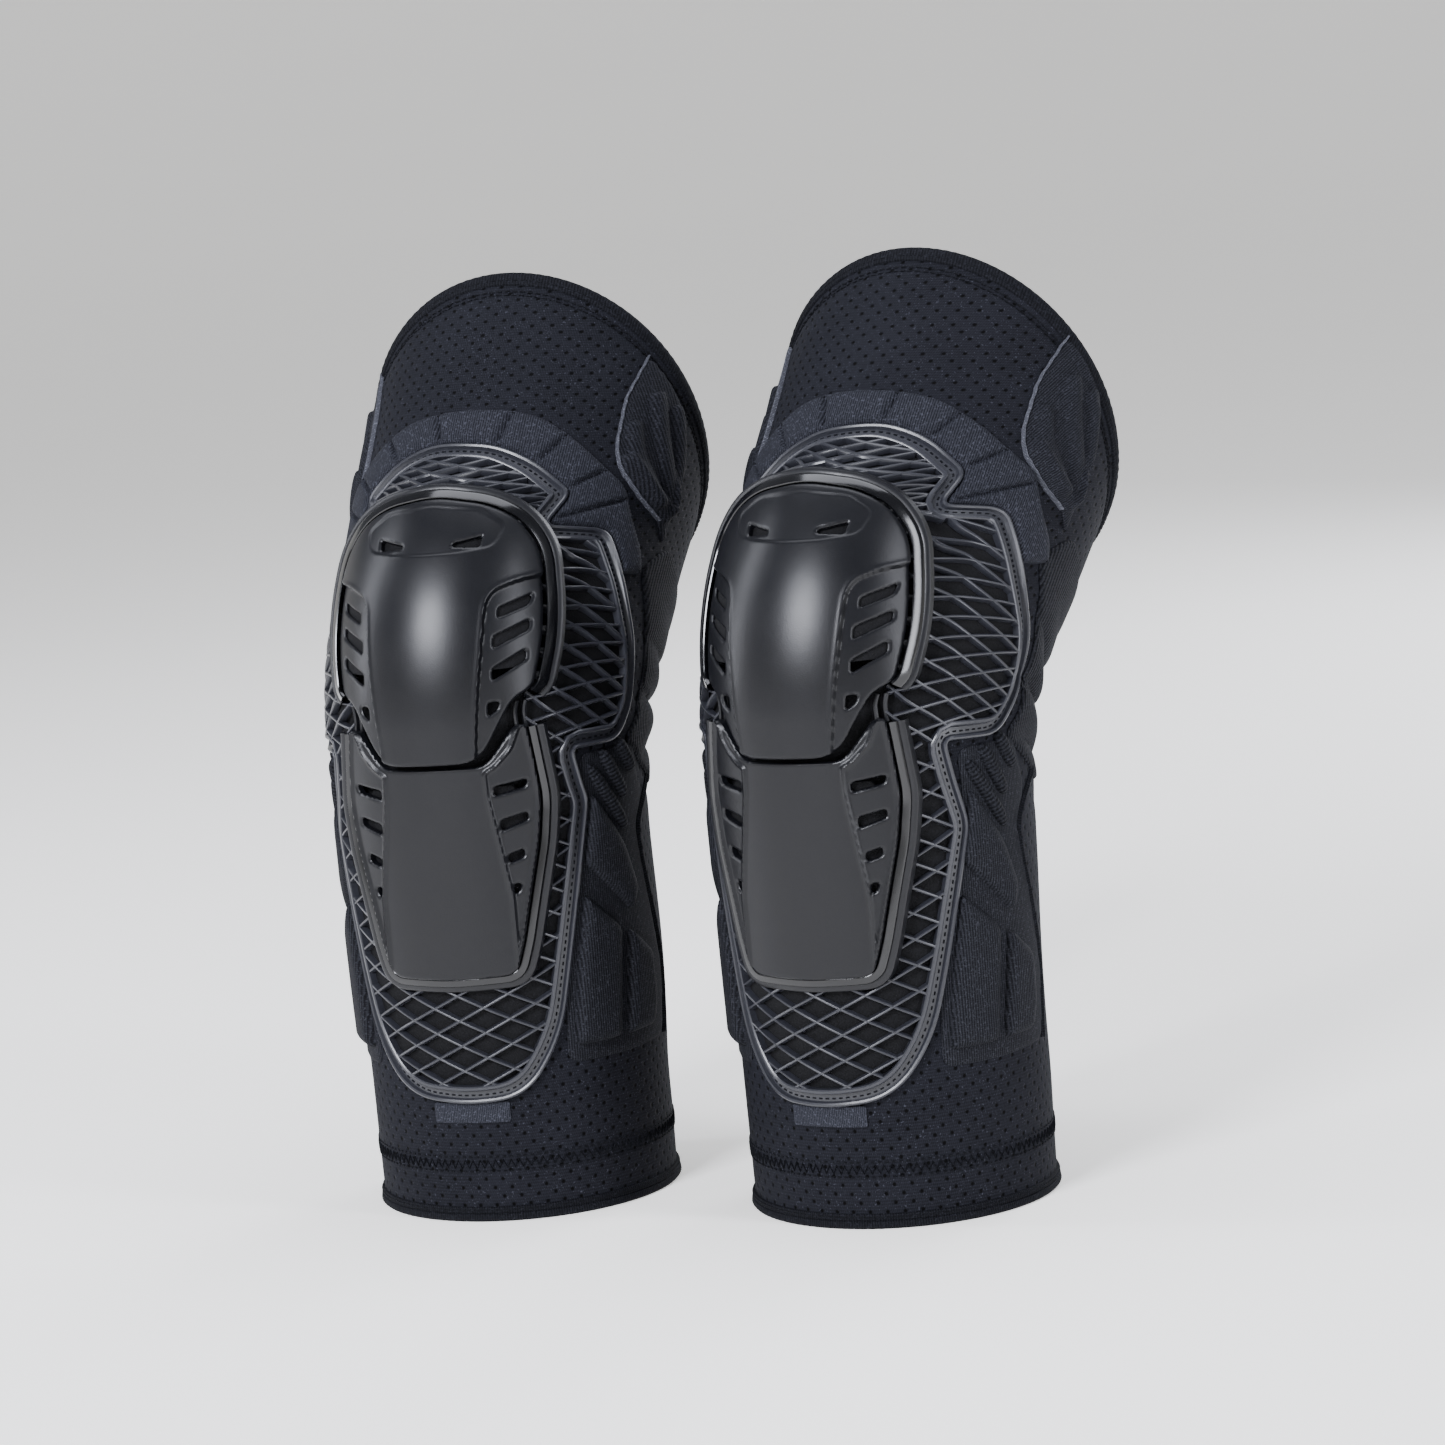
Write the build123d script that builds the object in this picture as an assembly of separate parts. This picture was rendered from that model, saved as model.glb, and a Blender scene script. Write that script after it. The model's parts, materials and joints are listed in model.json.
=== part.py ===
"""A pair of pre-curved knee guards: perforated sleeves, a flexible lattice web, a floating knee cap
and a shin plate on each. Millimetres, +Z up, fronts towards -Y, standing on their lower hems."""
from build123d import *
import os
from math import cos, radians, sin

# ---- driving dimensions of one sleeve ---------------------------------------------------------
SHIN_R = 62.0            # outside radius at the lower hem
KNEE_R = 65.0            # outside radius at the knee
THIGH_R = 75.5           # outside radius at the upper rim
WALL = 4.5               # neoprene thickness
SHIN_AXIS_Y = 8.0        # the shin tube's axis stands this far behind the guard's own origin
KNEE_Z = 220.0           # height where the shin and thigh axes meet
HEM_Z = 8.0              # height of the lower hem, from the same level
THIGH_TILT = 47.0        # the thigh tube leans back from the shin tube
RIM_FRONT = 166.0        # knee centre to the upper rim, along the thigh axis, at the front
RIM_SLOPE = 22.0         # the rim is cut this much lower at the back
SKIN_GAP = 0.3           # between a piece and the surface it is bonded or sewn to

# ---- joints -----------------------------------------------------------------------------------
LOWER_PIVOT_Z = 190.0    # cap swings on the shin about this height
UPPER_PIVOT_Z = 224.0    # thigh swings on the cap about this height
FLEX = 44.0              # bending from the pre-curved rest shape, both pivots together
EXTEND_UPPER = 10.0      # the upper pivot's share of straightening from rest
SWING_GAP = 1.0          # left free between the straightened thigh and the parts round the cap
FOLD_MARGIN = 2.0        # spare angle left between the folded sleeve edges

# ---- the pair ---------------------------------------------------------------------------------
GUARD_PITCH = 169.0      # between the two guards' own origins
TOE_IN = 5.5             # each front is turned this much towards the other guard

# ---- knee cap ---------------------------------------------------------------------------------
CAP_STANDOFF = 12.0      # the cap's foremost line in front of the sleeve
CAP_R = KNEE_R - 9.0     # the cap's round from side to side
CAP_BEND_R = 128.0       # the cap's round from bottom to top
CAP_BEND_Z = 215.0       # below this height the cap is straight
CAP_STRAIGHT = 60.0      # stock below the bend, before it is cut to the outline
CAP_ARC = 60.0           # degrees of stock above the bend
CAP_WALL = 3.0
CAP_RIM_STEP = 7.0       # the rim's face sits this far behind the cap's foremost line
CAP_RIM_R = KNEE_R - 3.0  # the rim's round from side to side
CAP_RIM_DEPTH = 3.0
CAP_SLOT = 4.0           # width of a vent slot
CAP_SLOT_RISE = 6.0      # each slot rises this much towards the outside
CAP_SLOT_X = (30.0, 41.0)
CAP_SLOTS_Z = (234.5, 247.0, 258.5)
CAP_TOP_VENT = ((11, 288), (21, 287), (22, 291), (11, 291))
CAP_DROP_VENT = ((26.5, 219.5), (30.5, 222), (31.5, 225.5), (27, 225.5))
KNEE_FOAM = 8.0

# ---- shin plate -------------------------------------------------------------------------------
PLATE_MID_Z = 150.0
PLATE_STANDOFF = 7.5     # the plate's foremost line in front of the sleeve at its middle
PLATE_ROUNDER = 4.0      # the plate's radius over the sleeve's
PLATE_WALL = 3.0
PLATE_SLOT = 4.0
PLATE_SLOT_RISE = 3.0
PLATE_SLOTS = ((185, 25, 37), (171, 26, 37), (157, 27, 34), (143, 28, 31.5))  # z, inner x, outer x
PLATE_RIM_STEP = 1.0     # the rim's face behind the plate's face
PLATE_RIM_DEPTH = 2.5

# ---- soft parts and trim ----------------------------------------------------------------------
WEB_THICK = 3.4          # lattice web
WEB_BORDER = 6.0
WEB_RIB = 2.6
CELL_WIDE = 21.0         # lattice cell across its corners
CELL_HIGH = 10.5
WINDOW_GAP = 1.0         # web to the plates that stand in its windows
SIDE_PAD = 4.0           # thickness of the foam blocks on the flanks
BIB_PAD = 3.5
BIB_LOW_Z = 291.0        # the bib stays above this height
WING_PANEL = 2.4
KNEE_PANEL = 1.4
UPPER_BINDING = 14.0     # width of the binding round the upper rim
LOWER_BINDING = 6.0
BINDING_THICK = 1.2
GRIP_WIDTH = 22.0        # silicone grip bands inside both ends
GRIP_THICK = 1.0
GRIP_INSET = 10.0
LABEL = (30.0, 8.0, 1.0)  # woven tab: width, height, thickness
LABEL_Z = 53.0

BIG = 600.0              # larger than the guard, for cutting tools
EPS = 0.01
WRAP_BACK_Y = 40.0       # front-view outlines carry back to here to wrap round the flanks
CORNER = 1.0             # rounding of the hard parts' outlines

TILT = radians(THIGH_TILT)
THIGH_LENGTH = RIM_FRONT + 5
CAP_FRONT_Y = SHIN_AXIS_Y - KNEE_R - CAP_STANDOFF
PLATE_SLEEVE_R = SHIN_R + (KNEE_R - SHIN_R) * PLATE_MID_Z / KNEE_Z
PLATE_R = PLATE_SLEEVE_R + PLATE_ROUNDER
PLATE_FRONT_Y = SHIN_AXIS_Y - PLATE_SLEEVE_R - PLATE_STANDOFF
LOWER_PIVOT = (SHIN_AXIS_Y, LOWER_PIVOT_Z)
UPPER_PIVOT = (SHIN_AXIS_Y, UPPER_PIVOT_Z)


# ---- small helpers ----------------------------------------------------------------------------
def ray(start, angle, length=BIG):
    """The end of a line in the side view: angle counts from straight back (+Y) up towards +Z."""
    return start[0] + length * cos(radians(angle)), start[1] + length * sin(radians(angle))


def side_prism(points, x0=-BIG / 2, x1=BIG / 2):
    """A side-view outline (y, z) carried across from x0 to x1."""
    face = make_face(Plane.YZ.offset(x0) * Polyline(*points, close=True))
    return extrude(face, amount=x1 - x0, dir=(1, 0, 0))


def front_prism(face, back=60.0, front=BIG / 2):
    """A front-view face, drawn as (x, z), carried from y = back forwards."""
    placed = Plane.XZ.offset(-back) * face
    return extrude(placed, amount=front + back, dir=(0, -1, 0))


def mirrored_outline(half, rounding=0.0):
    """A symmetric front-view face from its right half, given from bottom to top."""
    points = half + [(-x, z) for x, z in reversed(half) if x > EPS]
    face = make_face(Polyline(*points, close=True))
    if rounding:
        face = fillet(face.vertices(), rounding)
    return face


def elbow(grow=0.0):
    """The sleeve as a solid: shin cone, round knee and thigh cone, moved outwards by grow."""
    base = (Align.CENTER, Align.CENTER, Align.MIN)
    shin = Pos(0, SHIN_AXIS_Y, 0) * Cone(SHIN_R + grow, KNEE_R + grow, KNEE_Z, align=base)
    knee = Pos(0, SHIN_AXIS_Y, KNEE_Z) * Sphere(KNEE_R + grow)
    flare = (THIGH_R - KNEE_R) * THIGH_LENGTH / RIM_FRONT
    thigh = Cone(KNEE_R + grow, KNEE_R + flare + grow, THIGH_LENGTH, align=base)
    return shin + knee + Pos(0, SHIN_AXIS_Y, KNEE_Z) * Rot(-THIGH_TILT, 0, 0) * thigh


def thigh_point(angle, along, radius=None):
    """Side view (y, z) of a point on the thigh tube: angle round it from the front, then height."""
    if radius is None:
        radius = KNEE_R + (THIGH_R - KNEE_R) * along / RIM_FRONT
    forward = radius * cos(radians(angle))
    y = SHIN_AXIS_Y + along * sin(TILT) - forward * cos(TILT)
    return y, KNEE_Z + along * cos(TILT) + forward * sin(TILT)


def shin_side_point(angle, z):
    """Side view (y, z) of a point on the shin tube at that angle round from the front."""
    return SHIN_AXIS_Y - SHIN_R * cos(radians(angle)), z


def above_rim(lower=0.0):
    """Everything past the upper rim, or past a line that much below it."""
    y, z = thigh_point(0, RIM_FRONT, THIGH_R)
    lean = TILT + radians(RIM_SLOPE)
    normal = (0, sin(lean), cos(lean))
    origin = (0, y - lower * normal[1], z - lower * normal[2])
    base = (Align.CENTER, Align.CENTER, Align.MIN)
    return Plane(origin=origin, x_dir=(1, 0, 0), z_dir=normal) * Box(BIG, BIG, BIG, align=base)


def below(z):
    base = (Align.CENTER, Align.CENTER, Align.MAX)
    return Pos(0, 0, z) * Box(BIG, BIG, BIG, align=base)


# ---- the three zones of the sleeve ------------------------------------------------------------
FOLD_HALF = 180 - THIGH_TILT - FLEX - FOLD_MARGIN
SHIN_CUT_BACK = -90 + FOLD_HALF / 2
THIGH_CUT_BACK = 90 - THIGH_TILT - FOLD_HALF / 2
SHIN_CUT_FRONT = 175.0
THIGH_CUT_FRONT = 118.0


def shin_zone():
    back = ray(LOWER_PIVOT, SHIN_CUT_BACK)
    front = ray(LOWER_PIVOT, SHIN_CUT_FRONT)
    return side_prism([LOWER_PIVOT, back, (front[0], back[1]), front])


def thigh_zone():
    back = ray(UPPER_PIVOT, THIGH_CUT_BACK)
    front = ray(UPPER_PIVOT, THIGH_CUT_FRONT)
    return side_prism([UPPER_PIVOT, back, (back[0], front[1]), front])


def shell(inner, outer):
    """The layer between two offsets of the sleeve's outside, trimmed at both ends."""
    return elbow(outer) - elbow(inner) - above_rim() - below(HEM_Z)


def thigh_swing():
    """The room that the thigh's front takes when the guard is straightened."""
    pivot = Pos(0, *UPPER_PIVOT)
    return pivot * Rot(EXTEND_UPPER, 0, 0) * pivot.inverse() * (elbow(SWING_GAP) & thigh_zone())


# ---- outlines, front view, right half from bottom to top --------------------------------------
CAP_HALF = [(0, 201.5), (22, 201.5), (36, 225), (45, 230), (46, 262), (41, 290), (24, 304), (0, 307)]
CAP_RIM_HALF = [(0, 218), (24, 218), (37, 226), (49, 226), (50, 262), (44, 289), (26, 307), (0, 310)]
KNEE_FOAM_HALF = [(0, 218), (19, 218), (19, 238), (39, 238), (40, 262), (34, 286), (20, 297), (0, 299)]
PLATE_HALF = [(0, 111.5), (27, 112.5), (33, 124), (42, 178), (38, 215), (34, 214), (22, 196), (0, 196)]
PLATE_RIM_HALF = [(0, 108), (29, 109), (36, 123), (46.5, 180), (41.5, 216), (0, 216)]
SHIN_FOAM_HALF = [(0, 116), (24, 116), (38, 178), (30, 190), (0, 190)]
WEB_HALF = [(0, 58), (20, 62), (38, 82), (46, 118), (55, 176), (53, 201), (78, 201),
            (78, 293), (48, 293), (50, 304), (40, 318), (24, 325), (0, 327)]
WEB_SIDE = [(-90, 50), (0, 50), (0, 200), (-20, 200), (-6, 207), (3, 225), (9, 250), (14, 272),
            (11, 288), (4, 296), (30, 300), (30, 340), (-90, 340)]
BIB_HALF = [(0, 328), (26, 326), (42, 319), (52, 304), (51, 290), (66, 290), (64, 312), (40, 334),
            (0, 342)]
CAP_RIM_FOOT = CAP_RIM_HALF[2]
PLATE_NOTCH = PLATE_HALF[-3][0], PLATE_HALF[-1][1]


def cap_stock(front, back, radius=CAP_R):
    """The cap's curved layer between two depths behind its face: straight below, rounded above."""
    axis_y = CAP_FRONT_Y + front + radius
    ring = Circle(radius) - Circle(radius - (back - front))
    ring = Pos(0, axis_y) * (ring & Pos(0, -radius) * Rectangle(4 * radius, 2 * radius - 2 * EPS))
    ring = Pos(0, 0, CAP_BEND_Z) * ring
    bend = Axis((0, CAP_FRONT_Y + CAP_BEND_R, CAP_BEND_Z), (-1, 0, 0))
    straight = extrude(ring, amount=CAP_STRAIGHT, dir=(0, 0, -1))
    return straight + revolve(ring, axis=bend, revolution_arc=CAP_ARC)


def plate_stock(front, back):
    """The shin plate's curved layer between two depths behind its face."""
    low, high = PLATE_RIM_HALF[0][1] - CORNER, PLATE_RIM_HALF[-1][1] + CORNER
    ring = Circle(PLATE_R - front) - Circle(PLATE_R - back)
    ring = ring & Pos(0, -PLATE_R) * Rectangle(4 * PLATE_R, 2 * PLATE_R)
    placed = Pos(0, PLATE_FRONT_Y + PLATE_R, low) * ring
    return extrude(placed, amount=high - low, dir=(0, 0, 1))


# ---- hard parts -------------------------------------------------------------------------------
def slanted_slot(x0, x1, z, drop, width):
    """A vent slot from x0 out to x1 that rises by drop towards the outside."""
    return both_sides((x0, z), (x1, z + drop), (x1, z + drop + width), (x0, z + width))


def both_sides(*corners):
    """A face given by its corners, and its mirror image."""
    twin = [(-x, z) for x, z in reversed(corners)]
    return Polygon(*corners, align=None) + Polygon(*twin, align=None)


def knee_cap():
    slots = both_sides(*CAP_TOP_VENT) + both_sides(*CAP_DROP_VENT)
    for z in CAP_SLOTS_Z:
        slots += slanted_slot(*CAP_SLOT_X, z, CAP_SLOT_RISE, CAP_SLOT)
    return cap_stock(0, CAP_WALL) & front_prism(mirrored_outline(CAP_HALF, CORNER) - slots)


def knee_cap_rim():
    """The bevelled rim that frames the cap on both sides and over the top."""
    ring = mirrored_outline(CAP_RIM_HALF, CORNER) - offset(mirrored_outline(CAP_HALF, CORNER), SKIN_GAP)
    foot_x, foot_z = CAP_RIM_FOOT
    ring -= Pos(0, foot_z - BIG / 2) * Rectangle(2 * foot_x, BIG)
    layer = cap_stock(CAP_RIM_STEP, CAP_RIM_STEP + CAP_RIM_DEPTH, CAP_RIM_R)
    return (layer & front_prism(ring)) - elbow(SKIN_GAP) - thigh_swing()


def knee_foam():
    """Impact foam behind the cap, clear of the sleeve."""
    depth = CAP_WALL + SKIN_GAP
    pad = cap_stock(depth, depth + KNEE_FOAM, CAP_R - depth)
    return (pad & front_prism(mirrored_outline(KNEE_FOAM_HALF))) - elbow(SKIN_GAP) - thigh_swing()


def shin_plate():
    slots = Sketch()
    for z, inner, outer in PLATE_SLOTS:
        slots += slanted_slot(inner, outer, z, PLATE_SLOT_RISE, PLATE_SLOT)
    face = mirrored_outline(PLATE_HALF, CORNER) - slots
    return (plate_stock(0, PLATE_WALL) & front_prism(face)) - elbow(SKIN_GAP)


def shin_plate_rim():
    inside = offset(mirrored_outline(PLATE_HALF, CORNER), SKIN_GAP)
    ring = mirrored_outline(PLATE_RIM_HALF, CORNER) - inside
    notch_x, notch_z = PLATE_NOTCH
    ring -= Pos(0, notch_z + BIG / 2) * Rectangle(2 * notch_x, BIG)
    layer = plate_stock(PLATE_RIM_STEP, PLATE_RIM_STEP + PLATE_RIM_DEPTH)
    return (layer & front_prism(ring)) - elbow(SKIN_GAP)


def web_face():
    """The web's front view: border, windows for the two plates, and diamond cells."""
    face = mirrored_outline(WEB_HALF)
    field = offset(face, -WEB_BORDER, kind=Kind.INTERSECTION)
    for plate in (CAP_HALF, CAP_RIM_HALF, PLATE_RIM_HALF):
        face -= offset(mirrored_outline(plate), WINDOW_GAP)
        field -= offset(mirrored_outline(plate), WINDOW_GAP + WEB_RIB)
    shrink = 1 - WEB_RIB / (CELL_WIDE * CELL_HIGH) * (CELL_WIDE**2 + CELL_HIGH**2) ** 0.5
    cell = Polygon(
        (-CELL_WIDE / 2, 0), (0, -CELL_HIGH / 2), (CELL_WIDE / 2, 0), (0, CELL_HIGH / 2), align=None
    )
    cell = scale(cell, shrink)
    rows = int((WEB_HALF[-1][1] - WEB_HALF[0][1]) / CELL_HIGH)
    columns = int(2 * THIGH_R / CELL_WIDE) + 1
    centre = (0, (WEB_HALF[-1][1] + WEB_HALF[0][1]) / 2)
    grid = GridLocations(CELL_WIDE, CELL_HIGH, columns, rows)
    half_cell = Pos(CELL_WIDE / 2, CELL_HIGH / 2)
    cells = Sketch() + [spot * cell for spot in Pos(*centre) * grid]
    cells += [spot * cell for spot in Pos(*centre) * half_cell * grid]
    return face - (cells & field)


def lattice_web():
    web = shell(SKIN_GAP, SKIN_GAP + WEB_THICK) & front_prism(web_face(), back=WRAP_BACK_Y)
    return web & side_prism(WEB_SIDE)


# ---- soft parts -------------------------------------------------------------------------------
def sleeve_layer():
    return shell(-WALL, 0)


def shin_foam():
    """Impact foam behind the shin plate, between the sleeve and the plate."""
    face = front_prism(mirrored_outline(SHIN_FOAM_HALF))
    backed = plate_stock(PLATE_WALL + SKIN_GAP, PLATE_R - EPS) - elbow(SKIN_GAP)
    return backed & face


def flank(outlines, thick, x_side):
    """Blocks on one flank: side-view outlines carried out through the layer on the sleeve."""
    layer = shell(SKIN_GAP, SKIN_GAP + thick)
    reach = (SHIN_R / 3, BIG / 2) if x_side > 0 else (-BIG / 2, -SHIN_R / 3)
    blocks = Part()
    for outline in outlines:
        blocks += layer & side_prism(outline, *reach)
    return blocks


def shin_outline(corners):
    return [shin_side_point(angle, z) for angle, z in corners]


FRONT_BLOCK = shin_outline([(50, 68), (73, 66), (73, 140), (58, 147)])
REAR_BLOCK = shin_outline([(77, 70), (101, 76), (101, 118), (77, 135)])
WEDGE_BLOCK = shin_outline([(56, 156), (92, 136), (92, 144), (76, 162), (62, 180)])
MEDIAL_TUBE = shin_outline([(71, 176), (84, 162), (92, 166), (76, 182)])
LATERAL_TUBE = shin_outline([(72, 176), (88, 160), (90, 172), (80, 184)])
WING_CORNERS = ((54, 146), (50, 115), (55, 86), (88, 80), (95, 104), (90, 127), (76, 142))
KNEE_PANEL_SIDE = [(6, 196), (2, 214), (12, 246), (20, 262), (60, 214), (60, 196), (40, 170), (22, 182)]


def shin_side_pad(x_side, tube):
    return flank([FRONT_BLOCK, REAR_BLOCK, WEDGE_BLOCK, tube], SIDE_PAD, x_side)


def thigh_wing(x_side):
    outline = [thigh_point(angle, along) for angle, along in WING_CORNERS]
    return flank([outline], WING_PANEL, x_side) - above_rim(UPPER_BINDING + SKIN_GAP)


def knee_panel(x_side):
    """Knitted stretch panel over the side and back of the knee, where the sleeve folds."""
    return flank([KNEE_PANEL_SIDE], KNEE_PANEL, x_side)


def thigh_bib_pad():
    layer = shell(SKIN_GAP, SKIN_GAP + BIB_PAD) & front_prism(mirrored_outline(BIB_HALF), back=WRAP_BACK_Y)
    web = front_prism(offset(mirrored_outline(WEB_HALF), SKIN_GAP), back=WRAP_BACK_Y)
    return layer - below(BIB_LOW_Z) - (web & side_prism(WEB_SIDE))


def thigh_hem_binding():
    return shell(SKIN_GAP, SKIN_GAP + BINDING_THICK) & above_rim(UPPER_BINDING)


def shin_hem_binding():
    return shell(SKIN_GAP, SKIN_GAP + BINDING_THICK) & below(HEM_Z + LOWER_BINDING)


def grip_layer():
    return shell(-WALL - SKIN_GAP - GRIP_THICK, -WALL - SKIN_GAP)


def thigh_grip_band():
    return (grip_layer() & above_rim(GRIP_INSET + GRIP_WIDTH)) - above_rim(GRIP_INSET)


def shin_grip_band():
    return (grip_layer() & below(HEM_Z + GRIP_INSET + GRIP_WIDTH)) - below(HEM_Z + GRIP_INSET)


def label_tab():
    width, height, thick = LABEL
    layer = shell(SKIN_GAP, SKIN_GAP + thick)
    face = Pos(0, LABEL_Z) * Rectangle(width, height)
    return layer & front_prism(face, back=0)


# ---- one guard, medial side towards +X --------------------------------------------------------
def guard():
    sleeve = sleeve_layer()
    shin, thigh = shin_zone(), thigh_zone()
    return {
        "shin_sleeve": sleeve & shin,
        "knee_sleeve": sleeve - shin - thigh,
        "thigh_sleeve": sleeve & thigh,
        "shin_hem_binding": shin_hem_binding(),
        "thigh_hem_binding": thigh_hem_binding(),
        "shin_grip_band": shin_grip_band(),
        "thigh_grip_band": thigh_grip_band(),
        "lattice_web": lattice_web(),
        "knee_cap": knee_cap(),
        "knee_cap_rim": knee_cap_rim(),
        "knee_foam": knee_foam(),
        "shin_plate": shin_plate(),
        "shin_plate_rim": shin_plate_rim(),
        "shin_foam": shin_foam(),
        "shin_side_pad_medial": shin_side_pad(1, MEDIAL_TUBE),
        "shin_side_pad_lateral": shin_side_pad(-1, LATERAL_TUBE),
        "knee_panel_medial": knee_panel(1),
        "knee_panel_lateral": knee_panel(-1),
        "thigh_wing_medial": thigh_wing(1),
        "thigh_wing_lateral": thigh_wing(-1),
        "thigh_bib_pad": thigh_bib_pad(),
        "label_tab": label_tab(),
    }


def main():
    os.makedirs("parts", exist_ok=True)
    pieces = guard()
    places = {
        "left": Pos(-GUARD_PITCH / 2, 0, 0) * Rot(0, 0, TOE_IN),
        "right": Pos(GUARD_PITCH / 2, 0, 0) * Rot(0, 0, -TOE_IN),
    }
    pair = {}
    for name, piece in pieces.items():
        pair["left_" + name] = places["left"] * piece
        pair["right_" + name] = places["right"] * mirror(piece, about=Plane.YZ)
    box = Compound(children=[Compound(piece.solids()) for piece in pair.values()]).bounding_box()
    centre = Pos(-box.center().X, -box.center().Y, -box.min.Z)
    for name, piece in pair.items():
        export_step(centre * Compound(piece.solids()), f"parts/{name}.step")
    for side, place in places.items():
        for label, pivot in (("lower", LOWER_PIVOT), ("upper", UPPER_PIVOT)):
            spot = (centre * place * Pos(0, *pivot)).position
            print(side, label, "pivot (m):", [round(v / 1000, 6) for v in spot])
    print("box:", box.size)


main()
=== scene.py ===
"""A pair of pre-curved knee guards: sewn sleeves, lattice web, floating knee cap and shin plate.

Lengths are millimetres in the left guard's own frame (+X towards the other guard, -Y front, +Z up)
until `Shape.build` carries them into the shared frame in metres; the right guard is its mirror."""
import json
from math import atan2, ceil, cos, pi, radians, sin, tan

import bmesh
import bpy
import numpy as np
from mathutils import Matrix, Vector


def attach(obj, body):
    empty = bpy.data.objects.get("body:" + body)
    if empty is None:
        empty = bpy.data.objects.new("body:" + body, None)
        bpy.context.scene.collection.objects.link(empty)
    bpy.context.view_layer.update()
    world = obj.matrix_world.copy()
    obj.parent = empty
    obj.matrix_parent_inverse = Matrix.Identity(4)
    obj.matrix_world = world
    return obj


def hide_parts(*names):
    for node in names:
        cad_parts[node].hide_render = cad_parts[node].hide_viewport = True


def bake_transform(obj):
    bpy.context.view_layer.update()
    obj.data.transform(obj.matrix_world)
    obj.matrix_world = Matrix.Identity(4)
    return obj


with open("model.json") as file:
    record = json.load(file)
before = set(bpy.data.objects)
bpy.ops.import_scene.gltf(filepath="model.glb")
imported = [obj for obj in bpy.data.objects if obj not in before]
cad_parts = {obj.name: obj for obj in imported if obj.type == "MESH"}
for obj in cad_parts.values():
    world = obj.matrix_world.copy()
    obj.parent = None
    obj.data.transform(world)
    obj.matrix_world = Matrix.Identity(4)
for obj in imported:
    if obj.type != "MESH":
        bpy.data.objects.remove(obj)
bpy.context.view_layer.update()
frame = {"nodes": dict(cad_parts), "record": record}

MM = 0.001
SIDES = ("left", "right")
JOINTS = {joint["name"]: joint for joint in frame["record"]["behaviour"]["joints"]}

# ---- the sleeve: a shin cone, a round bend and a thigh cone ---------------------------------------
SHIN_R, KNEE_R, THIGH_R = 62.0, 65.0, 75.5      # outside radii at the hem, the knee and the rim
WALL = 4.5
AXIS_Y = 8.0
HEM_Z = 8.0
KNEE_Z = 220.0
LOWER_PIVOT_Z = 190.0
TILT = radians(47)
BEND = 80.0                                      # radius of the bend along the sleeve's axis
RIM_FRONT = 166.0
RIM_SLOPE = radians(22)
CROWN = 2.4                                      # the knee swells this much at its front
TANGENT = BEND * tan(TILT / 2)
BEND_V = KNEE_Z - TANGENT                        # v where the bend starts
TURN = 2 * pi * KNEE_R                           # u once round the sleeve
BEND_R = SHIN_R + (KNEE_R - SHIN_R) * BEND_V / KNEE_Z
THIGH_SLOPE = (THIGH_R - KNEE_R) / RIM_FRONT
ABOVE_BEND_R = KNEE_R + THIGH_SLOPE * TANGENT


def smooth(x, low=0.0, high=1.0):
    """0 below low, 1 above high, an S curve between."""
    t = np.clip((np.asarray(x, float) - low) / (high - low), 0, 1)
    return t * t * (3 - 2 * t)


def skin(u, v, h=0.0):
    """Point h above the sleeve: u runs round it from the front (65 mm a radian), v runs up it."""
    u, v, h = np.broadcast_arrays(*(np.asarray(a, float) for a in (u, v, h)))
    phi = u / KNEE_R
    lean = BEND + KNEE_R * np.cos(phi)
    theta = np.clip((v - BEND_V) / lean, 0, TILT)
    past = np.maximum(v - BEND_V - TILT * lean, 0)
    low = np.minimum(v - BEND_V, 0)
    share = theta / TILT
    radius = BEND_R + (KNEE_R - SHIN_R) / KNEE_Z * low + (ABOVE_BEND_R - BEND_R) * share
    radius = radius + CROWN * np.sin(pi * share) * np.maximum(np.cos(phi), 0) + THIGH_SLOPE * past + h
    y = AXIS_Y + BEND * (1 - np.cos(theta)) + past * sin(TILT)
    z = BEND_V + BEND * np.sin(theta) + low + past * cos(TILT)
    front = radius * np.cos(phi)
    return np.stack([radius * np.sin(phi), y - front * np.cos(theta), z + front * np.sin(theta)], -1)


def rim_v(u):
    """v of the sloped upper rim."""
    c = np.cos(np.asarray(u) / KNEE_R)
    drop = tan(RIM_SLOPE)
    along = RIM_FRONT + drop * (KNEE_R * c - THIGH_R)
    along = along / (1 - drop * THIGH_SLOPE * c)
    return BEND_V + TILT * (BEND + KNEE_R * c) + along - TANGENT


def split_v(u):
    """v of the ring halfway up the bend, where the lower and the upper pieces meet."""
    return BEND_V + TILT / 2 * (BEND + KNEE_R * np.cos(np.asarray(u) / KNEE_R))


# ---- the hard parts' own surfaces: x and z as seen from the front ---------------------------------
CAP_STANDOFF = 12.0                              # from the sleeve's front to the cap's front
CAP_Y = AXIS_Y - KNEE_R - CAP_STANDOFF
CAP_R, CAP_BEND_R, CAP_BEND_Z = 56.0, 128.0, 215.0
PLATE_Y, PLATE_R = -63.55, 68.05


def cap_face(x, z, h=0.0):
    """Point h in front of the knee cap's dome at (x, z)."""
    x, z, h = np.broadcast_arrays(*(np.asarray(a, float) for a in (x, z, h)))
    round_x = np.arcsin(np.clip(x / CAP_R, -0.985, 0.985))
    depth = CAP_R - CAP_R * np.cos(round_x)
    arm = CAP_BEND_R - depth
    turn = np.where(z > CAP_BEND_Z, np.arcsin(np.clip((z - CAP_BEND_Z) / arm, 0, 0.97)), 0)
    out = h * np.cos(round_x)
    y = CAP_Y + CAP_BEND_R - (arm + out) * np.cos(turn)
    over = np.where(z > CAP_BEND_Z, CAP_BEND_Z + (arm + out) * np.sin(turn), z)
    return np.stack([x + h * np.sin(round_x), y, over], -1)


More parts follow.
